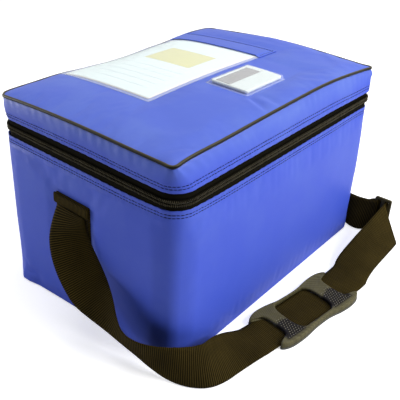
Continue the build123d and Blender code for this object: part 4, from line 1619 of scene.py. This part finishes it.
# the window's edges: left, right, front and back
def windowEdges():
    centreX, centreY = pocket["centre"]
    halfX, halfY = (half + pocket["margin"] for half in pocket["card"])
    return centreX - halfX, centreX + halfX, centreY - halfY, centreY + halfY


def makeWindow():
    left, right, front, back = windowEdges()
    flat, countX, countY, centre, x, y = gridBetween(left, right, front, back, 2.0, 2.5)
    gap = depthInside(x, y, left, np.inf, front, back)
    rise = smoothStep(gap, 2.2, 5.4)
    weld = 0.22 * (bell(gap, 2.6, 0.5) - bell(gap, 1.6, 0.4))
    low = topHeight(x, y) * (1 - rise) + lidHeight(x, y) * rise + pocket["weldLift"]
    low = low + rise * (pocket["filmLift"] - pocket["weldLift"] + 0.14 * flatWave(x, y, 24.0, 4.2)) + weld
    high = low + pocket["filmThick"]
    film = sheetPiece("labelWindow", flat, countX, countY, high, low, windowFilm, centre)
    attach(film, "lid")
    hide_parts("label_window")


# the strip is sewn down at its right edge and its sides, and stands over the window's end
def makeHeader():
    _, windowRight, front, back = windowEdges()
    left = windowRight - pocket["margin"] - pocket["headerTuck"]
    right = left + pocket["headerDepth"]
    front, back = front - pocket["headerMargin"], back + pocket["headerMargin"]
    seam, sideSeam = pocket["headerSeam"], pocket["headerSideSeam"]

    def underside(x, y):
        beside = np.minimum(y - front, back - y)
        sunk = topHeight(x, y) + 0.3
        raised = lidHeight(x, y) + pocket["headerLift"] + 0.25 * flatWave(x, y, 22.0, 3.3)
        share = smoothStep(right - x, seam, seam + 9) * smoothStep(beside, sideSeam, sideSeam + 3)
        return sunk + (raised - sunk) * share + 0.25 * bell(np.minimum(right - x, beside), 1.5, 1.5)

    flat, countX, countY, centre, x, y = gridBetween(left, right, front, back, 2.0, 2.0)
    low = underside(x, y)
    high = low + pocket["headerThick"]
    header = sheetPiece("headerStrip", flat, countX, countY, high, low, blueCloth, centre)
    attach(header, "lid")
    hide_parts("header_strip")

    corners = [
        (left + 6, back - sideSeam),
        (right - seam, back - sideSeam),
        (right - seam, front + sideSeam),
        (left + 8, front + sideSeam),
    ]
    line = walkLine(corners, 40)
    high = underside(*line.T) + pocket["headerThick"] + stitch["lift"]
    stitchRow("headerStitches", [raised(line, high)], moulded["darkThread"], "lid")


makeCardPiece()
makeWindow()
makeHeader()
print("label pocket made")

# thermometer in its pouch, in mm about its own middle
meter = {
    "at": (17.0, -69.0),
    "half": (39.0, 27.5),
    "thick": 4.0,
    "foot": 0.2,
    "lift": 0.45,
    "corner": 4.0,
    "edge": 0.9,
    "bow": 2.5,
    "screenAt": (-3.0, 12.0),
    "screenHalf": (33.0, 11.5),
    "screenSink": 0.7,
    "glass": (0.6, 0.35, 0.3),
    "margin": 5.0,
    "openInset": 1.5,
    "roof": 4.5,
    "film": 0.3,
    "digitAt": (-22.0, 9.0),
    "digitSize": (4.2, 7.4),
    "digitStroke": 0.9,
    "digitRaise": 0.06,
    "digitStep": 6.4,
    "pointStep": 2.4,
    "reading": "4.8",
}


# frame of the lid's surface under the thermometer: local x, y and up, in mm
def meterFrame():
    x, y = meter["at"]
    radius = lid["crownRadius"]
    up = Vector((x, y, radius - (x * x + y * y) / (2 * radius))).normalized()
    seat = Vector((0, 0, lid["crownTop"] - radius)) + up * (radius + meter["lift"])
    ahead = Vector((1, 0, -x / radius))
    ahead = (ahead - up * ahead.dot(up)).normalized()
    return seat, ahead, up.cross(ahead), up


def onMeter(points):
    seat, ahead, side, up = (np.array(v[:]) for v in meterFrame())
    points = np.asarray(points, float)
    return seat + points[:, :1] * ahead + points[:, 1:2] * side + points[:, 2:3] * up


def makeMeter():
    halfX, halfY = meter["half"]
    flat, countX, countY = roundedGrid(halfX, halfY, meter["corner"], 1.0)
    bowed = flat.copy()
    bowed[:, 0] -= meter["bow"] * smoothStep(flat[:, 0], halfX * 0.6, halfX) * (flat[:, 1] / halfY) ** 2
    gap = np.minimum(halfX - np.abs(flat[:, 0]), halfY - np.abs(flat[:, 1]))
    edge = meter["edge"]
    fall = edge - np.sqrt(np.clip(edge**2 - np.clip(edge - gap, 0, edge) ** 2, 0, None))
    screenX, screenY = meter["screenAt"]
    screenHalfX, screenHalfY = meter["screenHalf"]
    aside, along = np.abs(flat[:, 0] - screenX), np.abs(flat[:, 1] - screenY)
    inside = np.minimum(screenHalfX - aside, screenHalfY - along)
    upper = meter["thick"] - fall - meter["screenSink"] * smoothStep(inside, -0.5, 0.6)
    lower = meter["foot"] + fall
    case = sheetPiece("thermometerCase", bowed, countX, countY, upper, lower, moulded["casePlastic"])
    movePoints(case, onMeter)
    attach(case, "thermometer")
    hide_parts("thermometer_case")

    inset, raised, thick = meter["glass"]
    flat, countX, countY = roundedGrid(screenHalfX - inset, screenHalfY - inset, 1.0, 3.0)
    level = meter["thick"] - meter["screenSink"] + raised
    grey, place = moulded["screenGrey"], meter["screenAt"]
    screen = sheetPiece("thermometerScreen", flat, countX, countY, level, level - thick, grey, place)
    movePoints(screen, onMeter)
    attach(screen, "thermometer")
    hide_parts("thermometer_screen")
    makeDigits(level + 0.01)


# the seven strokes of a digit, as (centre x, centre y, upright) in units of the digit's width and height
strokePlaces = {
    "a": (0.5, 1.0, False),
    "b": (1.0, 0.75, True),
    "c": (1.0, 0.25, True),
    "d": (0.5, 0.0, False),
    "e": (0.0, 0.25, True),
    "f": (0.0, 0.75, True),
    "g": (0.5, 0.5, False),
}
digitStrokes = {"4": "bcfg", "8": "abcdefg"}


# one stroke as a flat bar with pointed ends, as points and faces
def digitBar(x, y, lengthX, lengthY, level, first):
    cut, halfX, halfY = meter["digitStroke"] / 2, lengthX / 2, lengthY / 2
    if lengthX > lengthY:
        ring = [(-halfX, 0), (-halfX + cut, -halfY), (halfX - cut, -halfY)]
    else:
        ring = [(0, -halfY), (halfX, -halfY + cut), (halfX, halfY - cut)]
    ring += [(-a, -b) for a, b in ring]
    points = [(x + a, y + b, level + rise) for rise in (0, meter["digitRaise"]) for a, b in ring]
    faces = [tuple(first + i for i in range(6))[::-1], tuple(first + 6 + i for i in range(6))]
    for i in range(6):
        j = (i + 1) % 6
        faces.append((first + i, first + j, first + 6 + j, first + 6 + i))
    return points, faces


def makeDigits(level):
    wide, tall = meter["digitSize"]
    stroke = meter["digitStroke"]
    startX, startY = meter["digitAt"]
    bars = []
    for mark in meter["reading"]:
        if mark == ".":
            bars.append((startX + 0.2, startY, 1.1, 1.0))
            startX += meter["pointStep"]
            continue
        for key in digitStrokes[mark]:
            shareX, shareY, upright = strokePlaces[key]
            size = (stroke, tall / 2 - 0.3) if upright else (wide - 0.3, stroke)
            bars.append((startX + shareX * wide, startY + shareY * tall, *size))
        startX += meter["digitStep"]
    points, faces = [], []
    for bar in bars:
        barPoints, barFaces = digitBar(*bar, level, len(points))
        points += barPoints
        faces += barFaces
    piece = addPiece("thermometerDigits", np.array(points) * mm, faces, moulded["digitInk"], smooth=False)
    movePoints(piece, onMeter)
    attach(piece, "thermometer")


def makePouch():
    halfX, halfY = (half + meter["margin"] for half in meter["half"])
    left, right = -halfX, meter["half"][0] - meter["openInset"]
    flat, countX, countY, centre, x, y = gridBetween(left, right, -halfY, halfY, 2.0, 1.2)
    gap = depthInside(x, y, left, np.inf, -halfY, halfY)
    rise = smoothStep(gap, 2.6, 5.2)
    place = onMeter(raised(flat + centre, 0.0))
    ground = topHeight(place[:, 0], place[:, 1]) - place[:, 2] + 0.22
    roof = meter["roof"] + 0.12 * flatWave(x, y, 14.0, 8.8)
    weld = 0.2 * (bell(gap, 2.2, 0.5) - bell(gap, 1.2, 0.4))
    low = ground * (1 - rise) + roof * rise + weld
    high = low + meter["film"]
    pouch = sheetPiece("thermometerPouch", flat, countX, countY, high, low, pouchFilm, centre)
    movePoints(pouch, onMeter)
    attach(pouch, "lid")
    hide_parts("thermometer_pouch")


makeMeter()
makePouch()
print("thermometer made")

# strap anchors on the end walls, in mm: a patch and a folded band over its top
anchor = {
    "y": 12.0,
    "top": 166.0,
    "half": (31.0, 35.0),
    "thick": 1.9,
    "lift": 0.5,
    "bandHalf": (31.0, 7.0),
    "bandThick": 4.6,
    "bandSteps": 40,
    "bandRound": 20,
    "seam": 3.5,
    "seamTop": 16.0,
}


# point on an end wall: across it, up from a height, and out from it
def onEndWall(side, height, points):
    lean = bag["flare"] / bag["rim"]
    reach = bag["halfX"] + bag["flare"] * (1 - height / bag["rim"])
    out = np.array((side, 0, lean)) / math.hypot(1, lean)
    along = np.array((0, side, 0))
    up = np.cross(out, along)
    points = np.asarray(points, float)
    origin = np.array((side * reach, 0, height))
    return origin + points[:, :1] * along + points[:, 1:2] * up + points[:, 2:3] * out


def makeAnchorPatch(side, place):
    halfX, halfY = anchor["half"]
    centre = (side * anchor["y"], 0.0)
    flat, countX, countY = roundedGrid(halfX, halfY, 1.5, 1.75)
    gap = np.minimum(halfX - np.abs(flat[:, 0]), halfY - np.abs(flat[:, 1]))
    upper = anchor["thick"] * (0.55 + 0.45 * smoothStep(gap, 0, 1.2)) - 0.3 * bell(gap, anchor["seam"], 0.8)
    upper = upper + 0.15 * flatWave(*(flat + centre).T, 12.0, 3.9) + anchor["lift"]
    patch = sheetPiece(f"anchorPatch_{place}", flat, countX, countY, upper, -0.1, webbing, centre)
    mapCloth(patch.data, np.vstack([flat, flat]))
    movePoints(patch, lambda points: onEndWall(side, anchor["top"] - halfY, points))
    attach(patch, "carrier")
    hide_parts(f"anchor_patch_{place}")


def makeAnchorBand(side, place):
    halfX, halfY = anchor["bandHalf"]
    loops, uv = [], []
    for i in range(anchor["bandSteps"] + 1):
        x = halfX * (2 * i / anchor["bandSteps"] - 1)
        end = min(1.0, 0.72 + (halfX - abs(x)) * 0.3)
        wave = 0.3 * noise.noise(Vector((x * 0.1, side * 3.0, 1.5)))
        loop = []
        for k in range(anchor["bandRound"]):
            angle = 2 * math.pi * k / anchor["bandRound"]
            c, s = math.cos(angle), math.sin(angle)
            up = math.copysign(abs(c) ** 0.6, c) * (halfY - 0.2) * (0.96 + 0.04 * end) + wave
            out = anchor["bandThick"] / 2 * (1 + math.copysign(abs(s) ** 0.7, s) * end * 0.98)
            loop.append((side * (anchor["y"] + x), up, anchor["thick"] - 0.1 + out))
            uv.append((k * 2.0, x))
        loops.append(onEndWall(side, anchor["top"] - halfY, loop)[::side])
    band = tubeSkin(f"anchorBand_{place}", loops, webbing, uv=uv)
    fixNormals(band)
    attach(band, "carrier")
    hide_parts(f"anchor_band_{place}")


def makeAnchorStitches(side, place):
    halfX, halfY = (half - anchor["seam"] for half in anchor["half"])
    top = anchor["half"][1] - anchor["seamTop"]
    corners = ((-halfX, -halfY), (halfX, -halfY), (halfX, top), (-halfX, top), (-halfX, -halfY))
    line = walkLine(corners, 24) + (side * anchor["y"], 0.0)
    high = anchor["thick"] + anchor["lift"] + 0.05
    line = onEndWall(side, anchor["top"] - anchor["half"][1], raised(line, high))
    stitchRow(f"anchorStitches_{place}", [line], moulded["blackThread"], "carrier")


for side, place in ((-1, "left"), (1, "right")):
    makeAnchorPatch(side, place)
    makeAnchorBand(side, place)
    makeAnchorStitches(side, place)
print("anchors made")

# shoulder pad, in mm: a quarter of its outline, and where its front side is fuller (place, width, amount)
pad = {
    "centre": (-17.1, -208.4),
    "turn": -8.0,
    "half": (77.0, 33.5),
    "quarter": (
        (56.0, 0.0), (56.0, 14.0), (61.5, 25.0), (71.0, 25.5), (76.0, 25.0), (75.5, 29.0),
        (65.0, 33.2), (52.0, 34.0), (36.0, 32.4), (18.0, 28.8), (0.0, 28.8),
    ),
    "sole": 3.0,
    "height": 10.5,
    "window": (25.8, 26.2),
    "windowBow": 8.0,
    "windowShift": -3.0,
    "slotHalf": 26.0,
    "bridge": 5.7,
    "frontFuller": ((26.0, 26.0, 1.6), (-20.0, 24.0, 2.3)),
    "count": 240,
    "edgeDrop": 2.6,
    "footLift": 0.25,
    "rim": 3.0,
    "windowRim": 2.2,
    "dish": 0.5,
}


# pad's outline as local points, evenly spread along it: lobes beside hollow ends, and drawn-in sides
def padOutline(grow=0.0):
    quarter = np.array(pad["quarter"])
    upper = np.vstack([quarter, quarter[-2::-1] * (-1, 1)])
    ring = np.vstack([upper, upper[-2::-1] * (1, -1)])
    soft = smoothLine([(x, y, 0.0) for x, y in ring])[:-1, :2]
    fuller = sum(amount * bell(soft[:, 0], place, reach) for place, reach, amount in pad["frontFuller"])
    fuller = fuller * smoothStep(-soft[:, 1], 8.0, 24.0)
    soft = soft - np.column_stack([0 * fuller, fuller])
    ahead = np.roll(soft, -1, 0) - np.roll(soft, 1, 0)
    soft = soft + np.column_stack([ahead[:, 1], -ahead[:, 0]]) / np.linalg.norm(ahead, axis=1)[:, None] * grow
    run = lineRun(soft, closed=True)
    places = np.linspace(0, run[-1], pad["count"], endpoint=False)
    return readLine(places, run, np.vstack([soft, soft[:1]]))


# window's edge, with one point for each point of the outline
def padWindow():
    halfX, halfY = pad["window"]
    edge = []
    for t in np.linspace(-1, 1, 60, endpoint=False):
        edge.append((halfX + pad["windowBow"] * (1 - t**4), halfY * t))
    for t in np.linspace(1, -1, 60, endpoint=False):
        edge.append((halfX * t, halfY))
    edge = np.array(edge)
    edge = np.vstack([edge, -edge]) + (pad["windowShift"], 0)
    for i in range(3):
        edge = (np.roll(edge, 1, 0) + edge * 2 + np.roll(edge, -1, 0)) / 4
    outline = padOutline()
    stretch = np.array((1.0, pad["half"][0] / pad["half"][1]))
    around = np.unwrap(np.arctan2(*(outline * stretch).T[::-1]))
    angles = np.arctan2(*((edge - (pad["windowShift"], 0)) * stretch).T[::-1])
    order = np.argsort(angles)
    angles, edge = angles[order], edge[order]
    turns = np.concatenate([angles + 2 * math.pi * turn for turn in (-1, 0, 1, 2)])
    return readLine(around, turns, np.tile(edge, (4, 1)))


def onPad(points):
    turn = math.radians(pad["turn"])
    points = np.asarray(points, float)
    x = points[:, 0] * math.cos(turn) - points[:, 1] * math.sin(turn) + pad["centre"][0]
    y = points[:, 0] * math.sin(turn) + points[:, 1] * math.cos(turn) + pad["centre"][1]
    return np.column_stack([x, y, points[:, 2]])


def makePadTop():
    outline, window = padOutline(), padWindow()
    foot, top = pad["sole"] + pad["footLift"], pad["height"]
    slot = np.abs(outline[:, 1]) < pad["slotHalf"] - 0.5
    atEnd = np.abs(outline[:, 0]) > pad["half"][0] * 0.6
    beside = np.abs(window[:, 0] - pad["windowShift"]) > 10
    beside = beside & (np.abs(window[:, 1]) < pad["slotHalf"] - 0.9)
    lowOuter = np.where(slot & atEnd, pad["bridge"], foot)
    lowInner = np.where(beside, pad["bridge"], foot)
    way = window - outline
    length = np.linalg.norm(way, axis=1)
    spots, levels = [], []

    def addRing(start, inset, level):
        spots.append(start + way * (inset / length)[:, None])
        levels.append(level)

    wall = top - pad["edgeDrop"]
    for inset, share in ((0.0, 0.0), (0.0, 0.3), (0.45, 0.36), (0.45, 0.4), (0.0, 0.46), (0.0, 1.0)):
        addRing(outline, inset, lowOuter + (wall - lowOuter) * share)
    for inset, drop in ((0.25, 1.5), (0.8, 0.7), (1.7, 0.2), (pad["rim"], 0.0)):
        addRing(outline, inset, top - drop)
    for share in (0.12, 0.3, 0.5, 0.7, 0.88):
        dish = pad["dish"] * math.sin(math.pi * share) * smoothStep(length, 8.0, 20.0)
        addRing(outline, pad["rim"] + (length - pad["rim"] - pad["windowRim"]) * share, top - dish)
    for inset, drop in ((pad["windowRim"], 0.0), (1.1, 0.2), (0.4, 0.7), (0.05, 1.5), (0.0, 2.4)):
        addRing(window, -inset, np.maximum(top - drop, lowInner + 0.1))
    addRing(window, 0.0, lowInner)
    rings = [onPad(raised(spot, level)) for spot, level in zip(spots, levels)]
    piece = ringSkin("shoulderPadTop", rings, padRubber, uv=np.vstack(spots))
    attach(piece, "shoulder_pad")
    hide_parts("pad_top")
    return piece


def makePadSole():
    outer = padOutline(0.6)
    inward = outer / np.linalg.norm(outer, axis=1)[:, None]
    sole, floor = pad["sole"], 0.02
    side = ((0.35, 0.3), (0.0, 0.9), (0.0, 2.0), (0.35, 2.7))
    flat, levels = [], []
    for inset, level in ((6.0, floor), (1.2, floor), *side, (1.2, sole)):
        flat.append(outer - inward * inset)
        levels.append(level)
    for share, level in ((0.5, sole), (0.15, sole), (0.15, floor), (0.5, floor)):
        flat.append(outer * share)
        levels.append(level)
    rings = [onPad(raised(spot, level)) for spot, level in zip(flat, levels)]
    piece = ringSkin("shoulderPadSole", rings, soleRubber, uv=np.vstack(flat))
    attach(piece, "shoulder_pad")
    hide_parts("pad_sole")
    return piece


padPiece, solePiece = makePadTop(), makePadSole()

# dots stand in rows, in a patch with a slanted back edge at each end of the pad, in mm
padDots = {
    "pitch": 3.8,
    "rowShare": 0.87,
    "rows": (-13, 4),
    "columns": (-27, 28),
    "radius": 0.68,
    "height": 0.6,
    "sink": 0.3,
    "clear": 2.4,
    "farX": 65.0,
    "frontY": -29.5,
    "peak": (48.0, 5.0, 0.35),
    "hollow": (76.0, 20.0, 27.0),
}


def makeDotTree():
    tree = newTree("raisedDots", {"Places": "Geometry", "Size": "Vector", "Finish": "Material"}, "Dots")
    start = addNode(tree, "NodeGroupInput")
    bead = addNode(tree, "GeometryNodeMeshIcoSphere")
    bead.inputs["Subdivisions"].default_value = 2
    bead.inputs["Radius"].default_value = 1.0
    placed = addNode(tree, "GeometryNodeInstanceOnPoints")
    tree.links.new(start.outputs["Places"], placed.inputs["Points"])
    tree.links.new(bead.outputs["Mesh"], placed.inputs["Instance"])
    tree.links.new(start.outputs["Size"], placed.inputs["Scale"])
    return endTree(tree, start, placed)


# whether a dot stands at a place: clear of the edges, beside the window and inside the hollow end
def dotStands(x, y, edges):
    halfX, halfY = pad["window"]
    peakX, peakY, slope = padDots["peak"]
    hollowX, depth, reach = padDots["hollow"]
    clear = min(np.hypot(*(edge - (x, y)).T).min() for edge in edges)
    windowEnd = halfX + pad["windowBow"] * (1 - min(1, abs(y / halfY)) ** 4)
    padEnd = min(padDots["farX"], hollowX - depth * math.sqrt(max(0, 1 - (y / reach) ** 2)))
    inRow = padDots["frontY"] < y < peakY - slope * abs(abs(x) - peakX)
    return clear > padDots["clear"] and abs(x - pad["windowShift"]) > windowEnd and abs(x) < padEnd and inRow


def makePadDots():
    pitch = padDots["pitch"]
    edges = (padOutline(), padWindow())
    places = []
    for row in range(*padDots["rows"]):
        for column in range(*padDots["columns"]):
            x, y = (column + row % 2 / 2) * pitch, row * pitch * padDots["rowShare"]
            if dotStands(x, y, edges):
                places.append((x, y, pad["height"] - padDots["sink"]))
    size = (padDots["radius"] * mm, padDots["radius"] * mm, padDots["height"] * mm)
    values = {"Size": size, "Finish": moulded["dotPaintedGlint"]}
    piece = bakeTree(makeHolder("dotPlaces", onPad(places), []), makeDotTree(), values, "shoulderPadDots")
    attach(piece, "shoulder_pad")
    return piece


dotPiece = makePadDots()
print("shoulder pad made")


# copy of a frame node with its loose triangles merged and its edges rounded by a radius in mm
def roundedCopy(node, name, radius, material, body):
    work = bmesh.new()
    work.from_mesh(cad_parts[node].data)
    bmesh.ops.remove_doubles(work, verts=work.verts, dist=2e-6)
    bmesh.ops.dissolve_limit(work, angle_limit=0.02, verts=work.verts, edges=work.edges)
    mesh = bpy.data.meshes.new(name)
    work.to_mesh(mesh)
    work.free()
    repaint(mesh, material)
    piece = putInScene(name, mesh)
    soft = piece.modifiers.new("soft", "BEVEL")
    soft.width = radius * mm
    soft.segments = 2
    soft.limit_method = "ANGLE"
    soft.angle_limit = math.radians(35)
    bpy.context.view_layer.update()
    done = appliedMesh(piece)
    piece.modifiers.clear()
    piece.data = done
    smoothFaces(done)
    done.set_sharp_from_angle(angle=math.radians(50))
    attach(piece, body)
    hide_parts(node)
    return piece


buckle, paint = moulded["bucklePlastic"], moulded["sliderPaint"]
adjusterPiece = roundedCopy("slide_adjuster", "slideAdjuster", 0.8, buckle, "carrier")
for place in ("front", "back"):
    roundedCopy(f"zip_slider_{place}", f"zipSlider_{place}", 0.35, paint, f"slider_{place}")
    roundedCopy(f"zip_puller_{place}", f"zipPuller_{place}", 0.3, paint, f"puller_{place}")
print("hard parts rounded")

# inside of the bag, in mm
inner = {"halfX": 178.4, "halfY": 125.9, "floor": 29.8, "top": 219.6, "corner": 12.0, "skin": 0.8, "sag": 1.2}


# ring on the lining, drawn in from the foam by the inset; wave is how much of its sag it takes
def innerRing(height, inset, wave=1.0):
    halfX, halfY = inner["halfX"] - inset, inner["halfY"] - inset
    plan, outs = planRing(halfX, halfY, inner["corner"] - min(inset, 6))
    spots = raised(plan, height)
    up = (height - inner["floor"]) / (inner["top"] - inner["floor"])
    push = inner["sag"] * (softWave(spots * (1, 1, 0.6), 50.0, 2.9) - 0.4)
    return ringAt(plan, outs, wave * push * math.sin(math.pi * min(1, max(0, up))), height)


def makeInside():
    floor, top = inner["floor"], inner["top"]
    skin = inner["skin"]
    rings = [innerRing(floor + skin + 0.1, inset + skin + 0.1, 0) for inset in (110.0, 60.0, 20.0, 6.0)]
    rings.append(innerRing(floor + 2.0, 2.2, 0))
    rings.append(innerRing(floor + 4.0, 1.1, 0))
    rings.extend(innerRing(height, skin + 0.1) for height in np.linspace(floor + 10, top - 2, 18))
    rings.append(innerRing(top, 0.7))
    rings.append(innerRing(top, 0.1))
    rings.extend(innerRing(height, 0.1, 0) for height in np.linspace(top - 2, floor + 4, 6))
    rings.extend(innerRing(floor + 0.1, inset, 0) for inset in (1.0, 20.0, 60.0, 110.0))
    piece = ringSkin("cavityLining", rings, liningFilm)
    fixNormals(piece)
    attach(piece, "carrier")
    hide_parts("liner")


makeInside()

# cloth strip across the back, in mm: it folds at the seam between the bag and the lid
hinge = {
    "half": 149.6,
    "low": 205.0,
    "high": 237.0,
    "thick": 1.1,
    "y": 152.3,
    "cells": (74, 26),
    "foldAt": 221.0,
    "foldReach": 9.0,
    "foldDepth": 0.9,
}


def makeHinge():
    countX, countZ = hinge["cells"]
    points, uv = [], []
    for inward in (hinge["thick"], 0.0):
        for z in np.linspace(hinge["low"], hinge["high"], countZ + 1):
            tuck = hinge["foldDepth"] * (1 - float(bell(z, hinge["foldAt"], hinge["foldReach"])))
            for x in np.linspace(-hinge["half"], hinge["half"], countX + 1):
                wave = 0.15 * noise.noise(Vector((x * 0.03, z * 0.05, 0.7)))
                points.append((x, hinge["y"] - tuck + wave - inward, z))
                uv.append((x, z))
    piece = addPiece("clothHinge", np.array(points) * mm, sheetFaces(countX, countZ), blueCloth, uv=uv)
    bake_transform(piece)
    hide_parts("hinge_strip_lower", "hinge_strip_upper")


makeHinge()
print("inside and hinge made")

# finishes for the nodes that stay as they are
kept = {node: foamCells for node in ("foam_base", "foam_front", "foam_back", "foam_left", "foam_right")}
kept.update(lid_liner=liningFilm, rim_binding=liningFilm, base_board=moulded["boardPlastic"])
for node, material in kept.items():
    repaint(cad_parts[node].data, material)

# the straps ride with the bag
ends = (
    (strapPiece, strapLine, strapLength, "strap_main", [padPiece, solePiece, dotPiece]),
    (shortPiece, shortLine, shortLength, "strap_short", [adjusterPiece]),
)
for piece, line, length, node, pieces in ends:
    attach(piece, "carrier")
    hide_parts(node)

# place and size in metres, power in watts
light = {
    "key": {"place": (0.75, -1.75, 1.35), "size": 1.2, "power": 50.0},
    "fill": {"place": (-0.85, 1.45, 0.28), "size": 0.5, "power": 12.0},
    "top": {"place": (0.15, 0.15, 2.1), "size": 1.6, "power": 26.0},
}
studio = {
    "aim": (0, 0, 0.12),
    "surround": 0.1,
    "floorHalf": 6.0,
    "floorPaint": rgb(0.88, 0.88, 0.88),
    "glow": 0.6,
}


def makeLamp(name, place, size, power):
    lamp = bpy.data.lights.new(name, "AREA")
    lamp.shape = "SQUARE"
    lamp.size = size
    lamp.energy = power
    holder = putInScene(name, lamp)
    holder.location = place
    aim = Vector(studio["aim"]) - Vector(place)
    holder.rotation_euler = aim.to_track_quat("-Z", "Y").to_euler()


# the world is dim for the object, and white where the camera sees it straight, in a mirror or through glass
def makeWorld():
    world = bpy.data.worlds.new("studio")
    world.use_nodes = True
    tree = world.node_tree
    tree.nodes.clear()
    path = addNode(tree, "ShaderNodeLightPath")
    seen = Wire(tree, path.outputs["Is Camera Ray"])
    for kind in ("Transmission", "Glossy"):
        seen = seen.maths("MAXIMUM", seen, Wire(tree, path.outputs[f"Is {kind} Ray"]))
    mixed = addNode(tree, "ShaderNodeMixShader")
    plug(tree, mixed.inputs[0], seen)
    for socket, strength in zip(mixed.inputs[1:], (studio["surround"], 1.0)):
        colour = addNode(tree, "ShaderNodeBackground")
        colour.inputs["Strength"].default_value = strength
        plug(tree, socket, Wire(tree, colour.outputs[0]))
    end = addNode(tree, "ShaderNodeOutputWorld")
    plug(tree, end.inputs["Surface"], Wire(tree, mixed.outputs[0]))
    bpy.context.scene.world = world


# matt floor that glows a little for the camera only
def makeFloor():
    f = Finish("floorPaint")
    seen = f.node("ShaderNodeLightPath", output="Is Camera Ray")
    matt = f.node("ShaderNodeBsdfDiffuse", {"Color": studio["floorPaint"]})
    glow = f.node("ShaderNodeEmission", {"Strength": seen * studio["glow"]})
    end = addNode(f.tree, "ShaderNodeOutputMaterial")
    plug(f.tree, end.inputs["Surface"], f.node("ShaderNodeAddShader", {0: matt, 1: glow}))
    half = studio["floorHalf"]
    corners = [(-half, -half, 0), (half, -half, 0), (half, half, 0), (-half, half, 0)]
    floor = addPiece("floor", corners, [(0, 1, 2, 3)], f.material, smooth=False)


for name, lamp in light.items():
    makeLamp(name, **lamp)
makeWorld()
makeFloor()
bpy.context.scene.view_settings.view_transform = "Standard"
print("studio lit")
